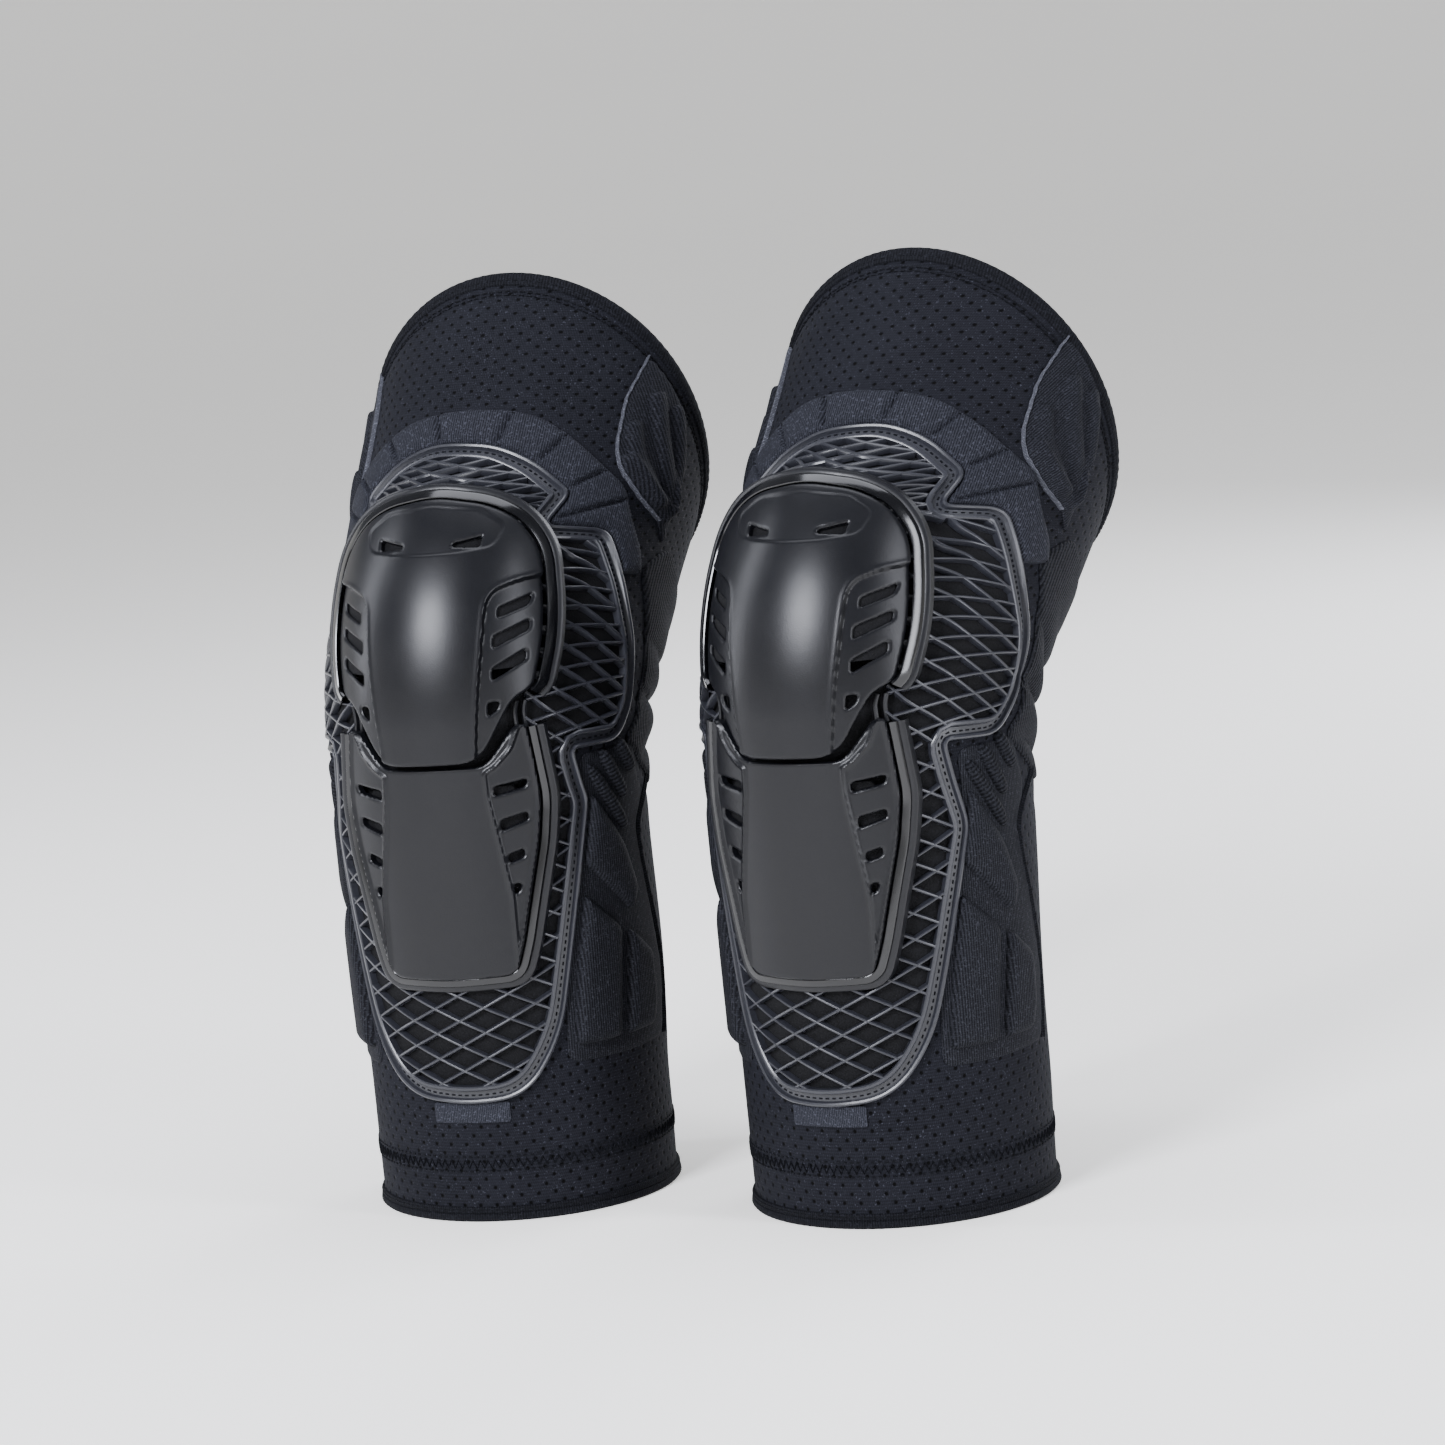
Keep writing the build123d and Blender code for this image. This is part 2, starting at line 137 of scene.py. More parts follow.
def plate_face(x, z, h=0.0):
    """Point h in front of the shin plate at (x, z)."""
    x, z, h = np.broadcast_arrays(*(np.asarray(a, float) for a in (x, z, h)))
    round_x = np.arcsin(np.clip(x / PLATE_R, -0.98, 0.98))
    y = PLATE_Y + PLATE_R - (PLATE_R + h) * np.cos(round_x)
    return np.stack([x + h * np.sin(round_x), y, z], -1)


# ---- outlines -------------------------------------------------------------------------------------
def mirrored(half):
    """A closed outline from its right half, which runs from bottom to top."""
    return list(half) + [(-x, y) for x, y in reversed(half) if abs(x) > 0.01]


OUTLINE_STEP = 1.5


def rounded(corners, radius, step=OUTLINE_STEP, closed=True):
    """An outline with round corners, in points a step apart."""
    p = np.array(corners, float)
    n = len(p)
    path = []
    for k in range(n):
        if not closed and k in (0, n - 1):
            path.append(p[k])
            continue
        before, here, after = p[k - 1], p[k], p[(k + 1) % n]
        a, b = np.linalg.norm(before - here), np.linalg.norm(after - here)
        reach = min(radius, a / 2, b / 2)
        start, end = here + (before - here) * reach / a, here + (after - here) * reach / b
        for t in np.linspace(0, 1, 7):
            path.append((1 - t) ** 2 * start + 2 * t * (1 - t) * here + t * t * end)
    return even(np.array(path), step, closed)


def even(path, step, closed=False):
    """The same path in points an even step apart."""
    p = np.vstack([path, path[:1]]) if closed else path
    run = np.concatenate([[0], np.cumsum(np.linalg.norm(np.diff(p, axis=0), axis=1))])
    count = max(int(ceil(run[-1] / step)), 3)
    spots = np.linspace(0, run[-1], count + 1)[: count if closed else count + 1]
    return np.stack([np.interp(spots, run, p[:, k]) for k in range(p.shape[1])], -1)


def across(path, closed=False):
    """Unit directions to the right of travel along a flat path."""
    if closed:
        step = np.roll(path, -1, 0) - np.roll(path, 1, 0)
    else:
        step = np.gradient(path, axis=0)
    step = step / np.maximum(np.linalg.norm(step, axis=1, keepdims=True), 1e-9)
    return np.stack([step[:, 1], -step[:, 0]], -1)


def inside_of(path):
    """The sign that turns `across` towards the inside of a closed path."""
    x, y = path[:, 0], path[:, 1]
    return -1.0 if np.sum(x * np.roll(y, -1) - np.roll(x, -1) * y) > 0 else 1.0


def distance(points, outline, chunk=6000):
    """Signed distance to a closed outline, below zero inside, and the nearest point on it."""
    a = outline[None]
    ab = np.roll(outline, -1, 0)[None] - a
    length2 = np.maximum((ab**2).sum(-1), 1e-12)
    far, near = [], []
    for start in range(0, len(points), chunk):
        p = points[start:start + chunk, None]
        t = np.clip(((p - a) * ab).sum(-1) / length2, 0, 1)
        spot = a + t[..., None] * ab
        d2 = ((p - spot) ** 2).sum(-1)
        k = d2.argmin(1)
        rows = np.arange(len(k))
        px, py = p[..., 0], p[..., 1]
        above, next_above = a[..., 1] > py, (a[..., 1] + ab[..., 1]) > py
        slope = np.where(ab[..., 1] == 0, 1e-12, ab[..., 1])
        crosses = (above != next_above) & (px < a[..., 0] + ab[..., 0] * (py - a[..., 1]) / slope)
        sign = np.where(crosses.sum(1) % 2 == 1, -1.0, 1.0)
        far.append(sign * np.sqrt(d2[rows, k]))
        near.append(spot[rows, k])
    return np.concatenate(far), np.concatenate(near)


# ---- shapes ---------------------------------------------------------------------------------------
SHARP_ANGLE = radians(38)


def shared(side, points):
    """Points of the left guard's own frame in the shared frame, on either guard."""
    joint = JOINTS[f"{side}_shin_to_cap"]
    axis = joint["axis"]
    toe = atan2(-axis[1], -axis[0])
    turn = np.array([[cos(toe), -sin(toe), 0], [sin(toe), cos(toe), 0], [0, 0, 1]])
    own = (np.asarray(points, float) - (0, AXIS_Y, LOWER_PIVOT_Z)) * (1 if side == "left" else -1, 1, 1)
    return own * MM @ turn.T + joint["pos_m"]


def grid_index(rows, cols, wrap_rows=False, wrap_cols=False, stride=None):
    """Corner numbers of a grid's quads; a wrapped side joins its last line to its first."""
    stride = stride or cols
    across_rows = np.arange(rows if wrap_rows else rows - 1)
    across_cols = np.arange(cols if wrap_cols else cols - 1)
    i, j = np.meshgrid(across_rows, across_cols, indexing="ij")
    down, right = (i + 1) % rows if wrap_rows else i + 1, (j + 1) % cols if wrap_cols else j + 1
    quad = [i * stride + j, i * stride + right, down * stride + right, down * stride + j]
    return np.stack(quad, -1).reshape(-1, 4)


class Shape:
    """Points, faces and, for each face corner, the cloth coordinate that patterns are drawn in."""

    def __init__(self):
        self.points, self.faces, self.coords, self.count = [], [], [], 0

    def add(self, points, faces, coords, corner_faces=None):
        """Faces number points; corner_faces number coords where these aren't one for each point."""
        points = np.asarray(points, float).reshape(-1, 3)
        coords = np.asarray(coords, float).reshape(-1, 2)
        corners = faces if corner_faces is None else corner_faces
        for face, corner in zip(faces, corners):
            self.faces.append([int(k) + self.count for k in face])
            self.coords.append(coords[np.asarray(corner, int)])
        self.points.append(points)
        self.count += len(points)

    def grid(self, points, coords, wrap_rows=False, wrap_cols=False):
        """A grid of points (rows, cols, 3); coords has one more row or column where it wraps."""
        rows, cols = points.shape[:2]
        faces = grid_index(rows, cols, wrap_rows, wrap_cols)
        flat = grid_index(rows + wrap_rows, cols + wrap_cols)
        self.add(points, faces, coords, flat)

    def tube(self, rings, coords, closed=False):
        """Section rings (n, m, 3) joined along a path, with flat ends unless closed."""
        n, m = rings.shape[:2]
        faces = list(grid_index(n, m, closed, True))
        corners = list(grid_index(n + closed, m + 1))
        if not closed:
            faces += [np.arange(m)[::-1], np.arange(m) + (n - 1) * m]
            corners += [np.arange(m)[::-1], np.arange(m) + (n - 1) * (m + 1)]
        self.add(rings, faces, coords, corners)

    def build(self, side, name, material, slot):
        """The mesh object in the shared frame, on the left or the right guard."""
        mesh = bpy.data.meshes.new(f"{side}_{name}")
        mesh.from_pydata(shared(side, np.concatenate(self.points)).tolist(), [], self.faces)
        layer = mesh.attributes.new("cloth", "FLOAT_VECTOR", "CORNER")
        flat = np.concatenate(self.coords)
        layer.data.foreach_set("vector", np.hstack([flat, np.zeros((len(flat), 1))]).ravel())
        work = bmesh.new()
        work.from_mesh(mesh)
        bmesh.ops.recalc_face_normals(work, faces=work.faces)
        work.to_mesh(mesh)
        work.free()
        mesh.polygons.foreach_set("use_smooth", [True] * len(mesh.polygons))
        mesh.set_sharp_from_angle(angle=SHARP_ANGLE)
        mesh.materials.append(material)
        piece = bpy.data.objects.new(f"{side}_{name}", mesh)
        bpy.context.scene.collection.objects.link(piece)
        return piece


def strip(shape, surface, path, section, closed=False):
    """A section of (across, height) points carried along a path on a surface."""
    side = across(path, closed)
    section = np.array(section, float)
    flat = path[:, None] + side[:, None] * section[None, :, :1]
    rings = surface(flat[..., 0], flat[..., 1], section[None, :, 1])
    run = np.concatenate([[0], np.cumsum(np.linalg.norm(np.diff(path, axis=0), axis=1))])
    if closed:
        run = np.append(run, run[-1] + np.linalg.norm(path[0] - path[-1]))
    width = np.append(section[:, 0], section[0, 0])
    coords = np.stack(np.meshgrid(run, width, indexing="ij"), -1)
    shape.tube(rings, coords, closed)


SNAP_SHARE = 0.55                                # grid points this near the outline move onto it


def patch(shape, surface, outline, step, top, bottom, holes=()):
    """A slab over an outline: a grid drawn onto the outline's edge, its top height from a function."""
    low, high = outline.min(0) - 2 * step, outline.max(0) + 2 * step
    xs, ys = np.arange(low[0], high[0], step), np.arange(low[1], high[1], step)
    rows, cols = len(ys), len(xs)
    spots = np.stack(np.meshgrid(xs, ys), -1).reshape(-1, 2)
    far, near = distance(spots, outline)
    for hole in holes:
        hole_far, hole_near = distance(spots, hole)
        nearer = -hole_far > far
        far, near = np.where(nearer, -hole_far, far), np.where(nearer[:, None], hole_near, near)
    snap = np.abs(far) < SNAP_SHARE * step
    spots[snap] = near[snap]
    far[snap] = 0
    keep = far <= 0
    quads = grid_index(rows, cols)
    good = keep[quads].sum(1)
    faces = [q for q in quads[good == 4]]
    faces += [q[keep[q]] for q in quads[good == 3]]
    used = np.unique(np.concatenate(faces))
    renumber = np.full(len(spots), -1)
    renumber[used] = np.arange(len(used))
    spots, far = spots[used], far[used]
    faces = [renumber[f] for f in faces]
    edges = dict.fromkeys((int(a), int(b)) for f in faces for a, b in zip(f, np.roll(f, -1)))
    border = [(a, b) for a, b in edges if (b, a) not in edges]
    n = len(spots)
    upper = surface(spots[:, 0], spots[:, 1], top(spots, -far))
    lower = surface(spots[:, 0], spots[:, 1], np.full(n, bottom))
    walls = [(b, a, a + n, b + n) for a, b in border]
    both = faces + [f[::-1] + n for f in faces] + walls
    shape.add(np.vstack([upper, lower]), both, np.vstack([spots, spots]))


def dome(height, edge, radius):
    """A top that rises from an edge height over a radius and stays level."""
    return lambda spots, depth: edge + (height - edge) * np.sqrt(
        np.clip(1 - (1 - np.clip(depth / radius, 0, 1)) ** 2, 0, 1)
    )


# ---- finishes -------------------------------------------------------------------------------------
class Number:
    """A shader number: arithmetic on it adds Math nodes."""

    def __init__(self, finish, socket):
        self.finish, self.socket = finish, socket

    def math(self, operation, *values):
        return self.finish.node("ShaderNodeMath", {"operation": operation}, dict(enumerate(values)))

    def __add__(self, other):
        return self.math("ADD", self, other)

    def __sub__(self, other):
        return self.math("SUBTRACT", self, other)

    def __rsub__(self, other):
        return self.math("SUBTRACT", other, self)

    def __mul__(self, other):
        return self.math("MULTIPLY", self, other)

    def __truediv__(self, other):
        return self.math("DIVIDE", self, other)

    __radd__, __rmul__ = __add__, __mul__

    def wave(self, period):
        """A sine wave from 0 to 1 with a period in the number's own unit."""
        return self.math("SINE", self * (2 * pi / period)) * 0.5 + 0.5

    def cell(self, pitch, shift=0.0):
        """Distance to the middle of the nearest of the cells a pitch wide."""
        return (self.math("FRACT", self / pitch + shift) - 0.5) * pitch

    def above(self, level, blur):
        """0 below a level and 1 above it, over a blur."""
        settings = {"clamp": True}
        values = {"Value": self, "From Min": level - blur / 2, "From Max": level + blur / 2}
        return self.finish.node("ShaderNodeMapRange", settings, values)


class Finish:
    """A material: a Principled shader with patterns drawn in cloth or object coordinates."""

    def __init__(self, name, roughness, specular=0.5, coat=0.0):
        self.material = bpy.data.materials.new(name)
        self.material.use_nodes = True
        self.tree = self.material.node_tree
        self.shader = self.tree.nodes["Principled BSDF"]
        self.set("Roughness", roughness)
        self.set("Specular IOR Level", specular)
        self.set("Coat Weight", coat)
        self.set("Coat Roughness", 0.12)

    def node(self, kind, settings=None, sockets=None, output=0):
        """One node: its settings first, then the values or links of its sockets."""
        made = self.tree.nodes.new(kind)
        for key, value in (settings or {}).items():
            setattr(made, key, value)
        for key, value in (sockets or {}).items():
            if isinstance(value, Number):
                self.tree.links.new(value.socket, made.inputs[key])
            else:
                made.inputs[key].default_value = value
        return Number(self, made.outputs[output])

    def set(self, socket, value):
        if isinstance(value, Number):
            self.tree.links.new(value.socket, self.shader.inputs[socket])
        else:
            self.shader.inputs[socket].default_value = value

    def cloth(self):
        """u and v in millimetres on pieces made here."""
        vector = self.node("ShaderNodeAttribute", {"attribute_name": "cloth"}, {}, "Vector")
        return (
            self.node("ShaderNodeSeparateXYZ", {}, {0: vector}, "X"),
            self.node("ShaderNodeSeparateXYZ", {}, {0: vector}, "Y"),
        )

    def place(self, scale):
        """Object coordinates, in metres, times a scale."""
        vector = self.node("ShaderNodeTexCoord", {}, {}, "Object")
        return self.node("ShaderNodeVectorMath", {"operation": "SCALE"}, {0: vector, "Scale": scale})

    def grain(self, size, detail=2.0, rough=0.5):
        """Noise with grains about a size across, in millimetres."""
        place = self.place(1 / (size * MM))
        sockets = {"Vector": place, "Scale": 1.0, "Detail": detail, "Roughness": rough}
        return self.node("ShaderNodeTexNoise", {}, sockets, "Fac")

    def mix(self, factor, first, second):
        settings = {"data_type": "RGBA"}
        sockets = {0: factor, 6: (*first, 1) if isinstance(first, tuple) else first}
        sockets[7] = (*second, 1) if isinstance(second, tuple) else second
        return self.node("ShaderNodeMix", settings, sockets, 2)

    def bump(self, height, depth, strength=1.0):
        """Raises the surface by a height from 0 to 1 times a depth in millimetres."""
        sockets = {"Strength": strength, "Distance": depth * MM, "Height": height}
        self.set("Normal", self.node("ShaderNodeBump", {}, sockets, "Normal"))


FABRIC_DARK, FABRIC_LIGHT = (0.0031, 0.0033, 0.0048), (0.0115, 0.012, 0.0165)
FABRIC_FLECK = (0.06, 0.063, 0.083)
HOLE_PITCH, HOLE_R = 7.4, 0.74


def neoprene():
    """Knit-faced neoprene with staggered round holes."""
    f = Finish("perforated_neoprene", 0.8, 0.08)
    u, v = f.cloth()

    def holes(shift):
        x, y = u.cell(HOLE_PITCH, shift), v.cell(HOLE_PITCH, shift)
        return f.node("ShaderNodeMath", {"operation": "SQRT"}, {0: x * x + y * y})

    nearest = f.node("ShaderNodeMath", {"operation": "MINIMUM"}, {0: holes(0.0), 1: holes(0.5)})
    solid = nearest.above(HOLE_R, 0.35)
    knit = f.grain(0.5, 3) * 0.6 + (u + v * 0.35).wave(0.9) * 0.2 + v.wave(1.3) * 0.2
    worn = f.grain(30, 2).above(0.5, 0.35)
    flecks = f.grain(0.75, 2).above(0.68, 0.08)
    # the knit's loop waves raise the bump and lighten the colour together, so their hollows are painted
    # shade; the grain part is the yarn's own heathered tone
    cloth = f.mix(knit.above(0.5, 0.4), FABRIC_DARK, FABRIC_LIGHT)
    cloth = f.mix(worn * 0.35, cloth, FABRIC_LIGHT)
    cloth = f.mix(flecks * 0.6, cloth, FABRIC_FLECK)
    # inside each hole the colour is near black: painted shade standing in for the dark depth of the
    # perforation
    f.set("Base Color", f.mix(solid, (0.0004, 0.0004, 0.0006), cloth))
    f.set("Roughness", 0.72 + knit * 0.2)
    rim = nearest.above(HOLE_R + 0.45, 0.8)
    f.bump(knit * 0.14 + solid * 0.5 + rim * 0.3, 0.9, 0.9)
    return f.material


def knit(name, dark, light, rib, rib_depth, speckle=0.6, diagonal=0.0):
    """A knit with ribs a given distance apart across u, and heathered yarn."""
    f = Finish(name, 0.82, 0.08)
    u, v = f.cloth()
    ribs = (u + v * diagonal).wave(rib)
    yarn = f.grain(speckle, 3, 0.6)
    loops = v.wave(rib * 0.8)
    # ribs and loops raise the bump and lighten the colour together: rib valleys and loop hollows are painted
    # shade; the yarn grain is real heathered tone
    heather_and_rib_shade = yarn * 0.6 + ribs * 0.3 + loops * 0.1
    fleck = f.grain(speckle * 1.5, 2).above(0.62, 0.12)
    bright = tuple(c * 2.6 for c in light)
    cloth = f.mix(heather_and_rib_shade.above(0.5, 0.3), dark, light)
    f.set("Base Color", f.mix(fleck * 0.5, cloth, bright))
    f.set("Roughness", 0.72 + yarn * 0.2)
    f.bump(ribs * 0.55 + yarn * 0.35 + loops * 0.1, rib_depth, 0.9)
    return f.material


def moulded(name, colour, roughness, grain_size, grain_depth, coat=0.0, specular=0.5):
    """Moulded plastic with a fine spark-eroded grain and slight wear."""
    f = Finish(name, roughness, specular, coat)
    fine = f.grain(grain_size, 2)
    smudge = f.grain(18, 3)
    dark = tuple(c * 0.8 for c in colour)
    light = tuple(c * 1.3 for c in colour)
    f.set("Base Color", f.mix(fine.above(0.5, 0.5), dark, light))
    f.set("Roughness", smudge * 0.1 + fine * 0.08 + (roughness - 0.09))
    f.bump(fine, grain_depth, 0.7)
    return f.material


def silicone():
    f = Finish("silicone_grip", 0.45, 0.5)
    waves = f.grain(3, 1).above(0.5, 0.2)
    f.set("Base Color", f.mix(waves, (0.02, 0.02, 0.023), (0.035, 0.035, 0.04)))
    f.bump(waves, 0.3)
    return f.material


def foam():
    f = Finish("black_foam", 0.9, 0.25)
    cells = f.grain(0.7, 3)
    dark, light = (0.0012, 0.0012, 0.0016), (0.0048, 0.0048, 0.0064)
    f.set("Base Color", f.mix(cells.above(0.55, 0.4), dark, light))
    f.bump(cells, 0.3)
    return f.material


def floor_finish():
    f = Finish("pale_floor", 0.9, 0.2)
    colour = f.mix(f.grain(400, 2), (0.93, 0.92, 0.895), (0.95, 0.94, 0.915))
    f.set("Base Color", colour)
    f.set("Emission Color", colour)
    f.set("Emission Strength", 0.55)
    return f.material


NEOPRENE = neoprene()
BINDING = knit("elastic_binding", (0.0023, 0.0024, 0.0034), (0.0078, 0.0082, 0.011), 1.1, 0.25)
JERSEY = knit("padded_jersey", (0.0062, 0.0065, 0.009), (0.0235, 0.0247, 0.032), 0.9, 0.2, 0.7)
SIDE_JERSEY = knit("flank_jersey", (0.0038, 0.004, 0.0053), (0.016, 0.0167, 0.021), 1.1, 0.25)
RIBBED = knit("ribbed_stretch_knit", (0.002, 0.0021, 0.0029), (0.0135, 0.0141, 0.018), 1.9, 0.7)
WING_KNIT = knit("wing_knit", (0.0038, 0.004, 0.0054), (0.0155, 0.0162, 0.021), 1.3, 0.25, diagonal=0.5)
RAW_EDGE = knit("raw_cut_edge", (0.028, 0.029, 0.036), (0.08, 0.083, 0.1), 0.8, 0.2)
WOVEN = knit("woven_tab", (0.008, 0.0085, 0.0115), (0.03, 0.0315, 0.041), 0.8, 0.2, 0.5)
THREAD = knit("sewing_thread", (0.0014, 0.0015, 0.0021), (0.0075, 0.0079, 0.0105), 0.5, 0.15)
SHELL = moulded("satin_shell", (0.0042, 0.0044, 0.0058), 0.33, 0.5, 0.05, specular=0.3)
GLOSS = moulded("gloss_rim", (0.0022, 0.0023, 0.003), 0.16, 0.8, 0.004, coat=0.35, specular=0.4)
FLANGE = moulded("satin_flange", (0.0055, 0.0057, 0.0073), 0.36, 0.6, 0.02, specular=0.35)
WEB = moulded("soft_web_plastic", (0.019, 0.0198, 0.0252), 0.32, 0.7, 0.012)
FOAM = foam()
SILICONE = silicone()


# ---- the two guards' joints, and soft pieces baked below or above the bend ------------------------
def along_bend(side, reach):
    """A point so far above the middle of the bend, square to the ring that splits the sleeve."""
    half = TILT / 2
    y = AXIS_Y + BEND * (1 - cos(half)) + reach * sin(half)
    z = BEND_V + BEND * sin(half) + reach * cos(half)
    return tuple(shared(side, (0, y, z)).tolist())


SPLIT_GAP = 1.0
LOWER_REACH, UPPER_REACH = 40.0, 62.0


def bend_lower(piece, side):
    """Bakes the piece's transform; the points on the bend below its middle that it works out are not used."""
    start, end = along_bend(side, -LOWER_REACH), along_bend(side, -SPLIT_GAP)
    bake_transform(piece)


def bend_upper(piece, side):
    """Bakes the piece's transform; the points on the bend above its middle that it works out are not used."""
    start, end = along_bend(side, SPLIT_GAP), along_bend(side, UPPER_REACH)
    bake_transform(piece)


BENDS = {"lower": bend_lower, "upper": bend_upper}


# ---- folds of the soft sleeve ---------------------------------------------------------------------
FOLD_SIZE = 3.2
FOLD_ANGLE = 0.33                                # from one fold to the next, seen from the bend's centre
RIM_DITCH = 9.6                                  # the cover stitch pulls the sleeve in this far below its rim


def folds(u, v):
    """How far the slack cloth behind the knee stands out."""
    lean = np.maximum(BEND + KNEE_R * np.cos(u / KNEE_R), 58)
    s = (v - split_v(u)) / lean
    wander = 0.35 * np.sin(u / 13) + 0.2 * np.sin(u / 7.3 + 1)
    wave = 1.5 * np.abs(np.sin(pi * s / FOLD_ANGLE + wander)) ** 0.7 - 1
    window = np.exp(-(((s + 0.04) / 0.42) ** 2)) * smooth(np.abs(u), 84, 125)
    broad = 0.9 * np.sin(v / 21 + 0.6 * np.sin(u / 37)) * np.sin(u / 29 + 0.8)
    quiet = smooth(v, 30, 70) * (1 - smooth(v, rim_v(u) - 60, rim_v(u) - 15))
    ditch = np.exp(-(((rim_v(u) - RIM_DITCH - v) / 1.8) ** 2)) * (0.6 + 0.25 * np.sin(2 * pi * u / 4.7))
    return FOLD_SIZE * window * wave + broad * smooth(np.abs(u), 60, 110) * quiet - ditch


def cloth(u, v, h=0.0):
    """Point h above the sleeve with its folds."""
    return skin(u, v, h + folds(np.asarray(u, float), np.asarray(v, float)))


# ---- sleeve, hems and seams -----------------------------------------------------------------------
SLEEVE_COLS, SLEEVE_STEP = 168, 1.7
RIM_TUCK = 0.5


def sleeve(side):
    """The neoprene tube in its lower and upper halves, each a closed shell."""
    u = np.linspace(-TURN / 2, TURN / 2, SLEEVE_COLS + 1)
    halves = {
        "lower": (np.full_like(u, HEM_Z + RIM_TUCK), split_v(u)),
        "upper": (split_v(u), rim_v(u) - RIM_TUCK),
    }
    nodes = {"lower": ("shin_sleeve", "knee_sleeve"), "upper": ("thigh_sleeve",)}
    for half, (low, high) in halves.items():
        rows = int(np.max(high - low) / SLEEVE_STEP)
        t = np.linspace(0, 1, rows)[:, None]
        v = low + (high - low) * t
        depth = np.concatenate([np.zeros(rows), np.full(rows, -WALL)])[:, None]
        v_loop = np.vstack([v, v[::-1]])
        points = cloth(u[None, :-1], v_loop[:, :-1], depth)
        coords = np.stack(np.broadcast_arrays(u[None], np.vstack([v_loop, v_loop[:1]])), -1)
        shape = Shape()
        shape.grid(points, coords, wrap_rows=True, wrap_cols=True)
        piece = shape.build(side, f"sleeve_{half}", NEOPRENE, "neoprene")
        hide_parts(*(f"{side}_{node}" for node in nodes[half]))
        BENDS[half](piece, side)


UPPER_HEM = [(-5.8, 0.15), (-5.5, 0.8), (-4.7, 1.15), (-2.6, 1.25), (-0.8, 1.4), (0.9, 0.7), (1.3, -2.2),
             (0.9, -5.2), (-1, -5.9), (-8, -5.6), (-8.3, -4.65), (-0.4, -4.6), (-0.2, -2.2), (-0.4, 0.1)]
LOWER_HEM = [(6.2, 0.1), (5.9, 0.9), (4.0, 1.25), (3.4, 0.8), (2.9, 1.45), (1.0, 1.7), (0.1, 1.0),
             (0.0, -2.2), (0.1, -5.3), (1.2, -5.7), (4.4, -5.5), (4.6, -4.6), (0.6, -4.55), (0.5, 0.0)]


def hem(side, name, node, edge, section):
    """A binding folded round an edge of the sleeve."""
    count = 240
    u = np.linspace(-TURN / 2, TURN / 2, count + 1)
    section = np.array(section)
    v = edge(u)[:, None] + section[None, :, 0]
    pucker = 0.12 * np.sin(u * 2 * pi / 3.2)[:, None] * (section[None, :, 1] > 0.5)
    points = cloth(u[:-1, None], v[:-1], section[None, :, 1] + pucker[:-1])
    closed = np.append(section[:, 0], section[0, 0])
    coords = np.stack(np.meshgrid(u, closed, indexing="ij"), -1)
    shape = Shape()
    shape.grid(points, coords, wrap_rows=True, wrap_cols=True)
    piece = shape.build(side, name, BINDING, "binding")
    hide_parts(f"{side}_{node}")
    return piece


def dashes(shape, surface, path, length, pitch, width=0.55, height=0.45, base=0.0):
    """A row of stitches: short threads along a path."""
    fine = even(path, 0.5)
    per = max(int(pitch / 0.5), 2)
    long = max(int(length / 0.5), 1) + 1
    w, top = width / 2, base + height
    shoulder = top * 0.8 + base * 0.2
    section = [(-w, base), (-w * 0.8, shoulder), (0, top), (w * 0.8, shoulder), (w, base)]
    for start in range(0, len(fine) - long, per):
        strip(shape, surface, fine[start:start + long], section)


def round_line(v_of_u, low=-TURN / 2, high=TURN / 2, count=400):
    u = np.linspace(low, high, count)
    return np.stack([u, v_of_u(u)], -1)


def hem_stitches(side):
    """Cover-stitch rows on the rim, and the zigzag and chain rows of the cuff."""
    upper = Shape()
    for inset, base in ((10.6, 0.1), (8.6, 0.1), (3.6, 1.0)):
        dashes(upper, cloth, round_line(lambda u: rim_v(u) - inset), 2.0, 3.2, base=base)
    piece = upper.build(side, "rim_cover_stitch", THREAD, "binding")
    bend_upper(piece, side)
    lower = Shape()
    half_pitch, low, high = 1.7, 30.6, 34.0
    count = 2 * int(TURN / (2 * half_pitch))
    u = np.linspace(-TURN / 2, TURN / 2, count + 1)[:-1]
    zigzag = np.stack([u, np.where(np.arange(count) % 2 == 0, low, high)], -1)
    strip(lower, cloth, zigzag, ZIGZAG, closed=True)
    for row in (29.2, 35.4):
        dashes(lower, cloth, round_line(lambda u: row + 0 * u), 1.8, 3.4, width=0.6)
    dashes(lower, cloth, round_line(lambda u: HEM_Z + 4.9 + 0 * u), 1.6, 2.4, base=0.9)
    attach(lower.build(side, "cuff_zigzag", THREAD, "binding"), f"{side}_shin")


ZIGZAG = [(-0.4, -0.2), (-0.35, 0.35), (0, 0.6), (0.35, 0.35), (0.4, -0.2)]
PIPE = [(-1.6, -0.2), (-1.2, 0.6), (-0.6, 0.8), (0, 1.5), (0.6, 0.8), (1.2, 0.6), (1.6, -0.2)]
PIPING = [(118, 184), (104, 172), (95, 163), (97, 148), (103, 129), (109, 104), (106, 72)]


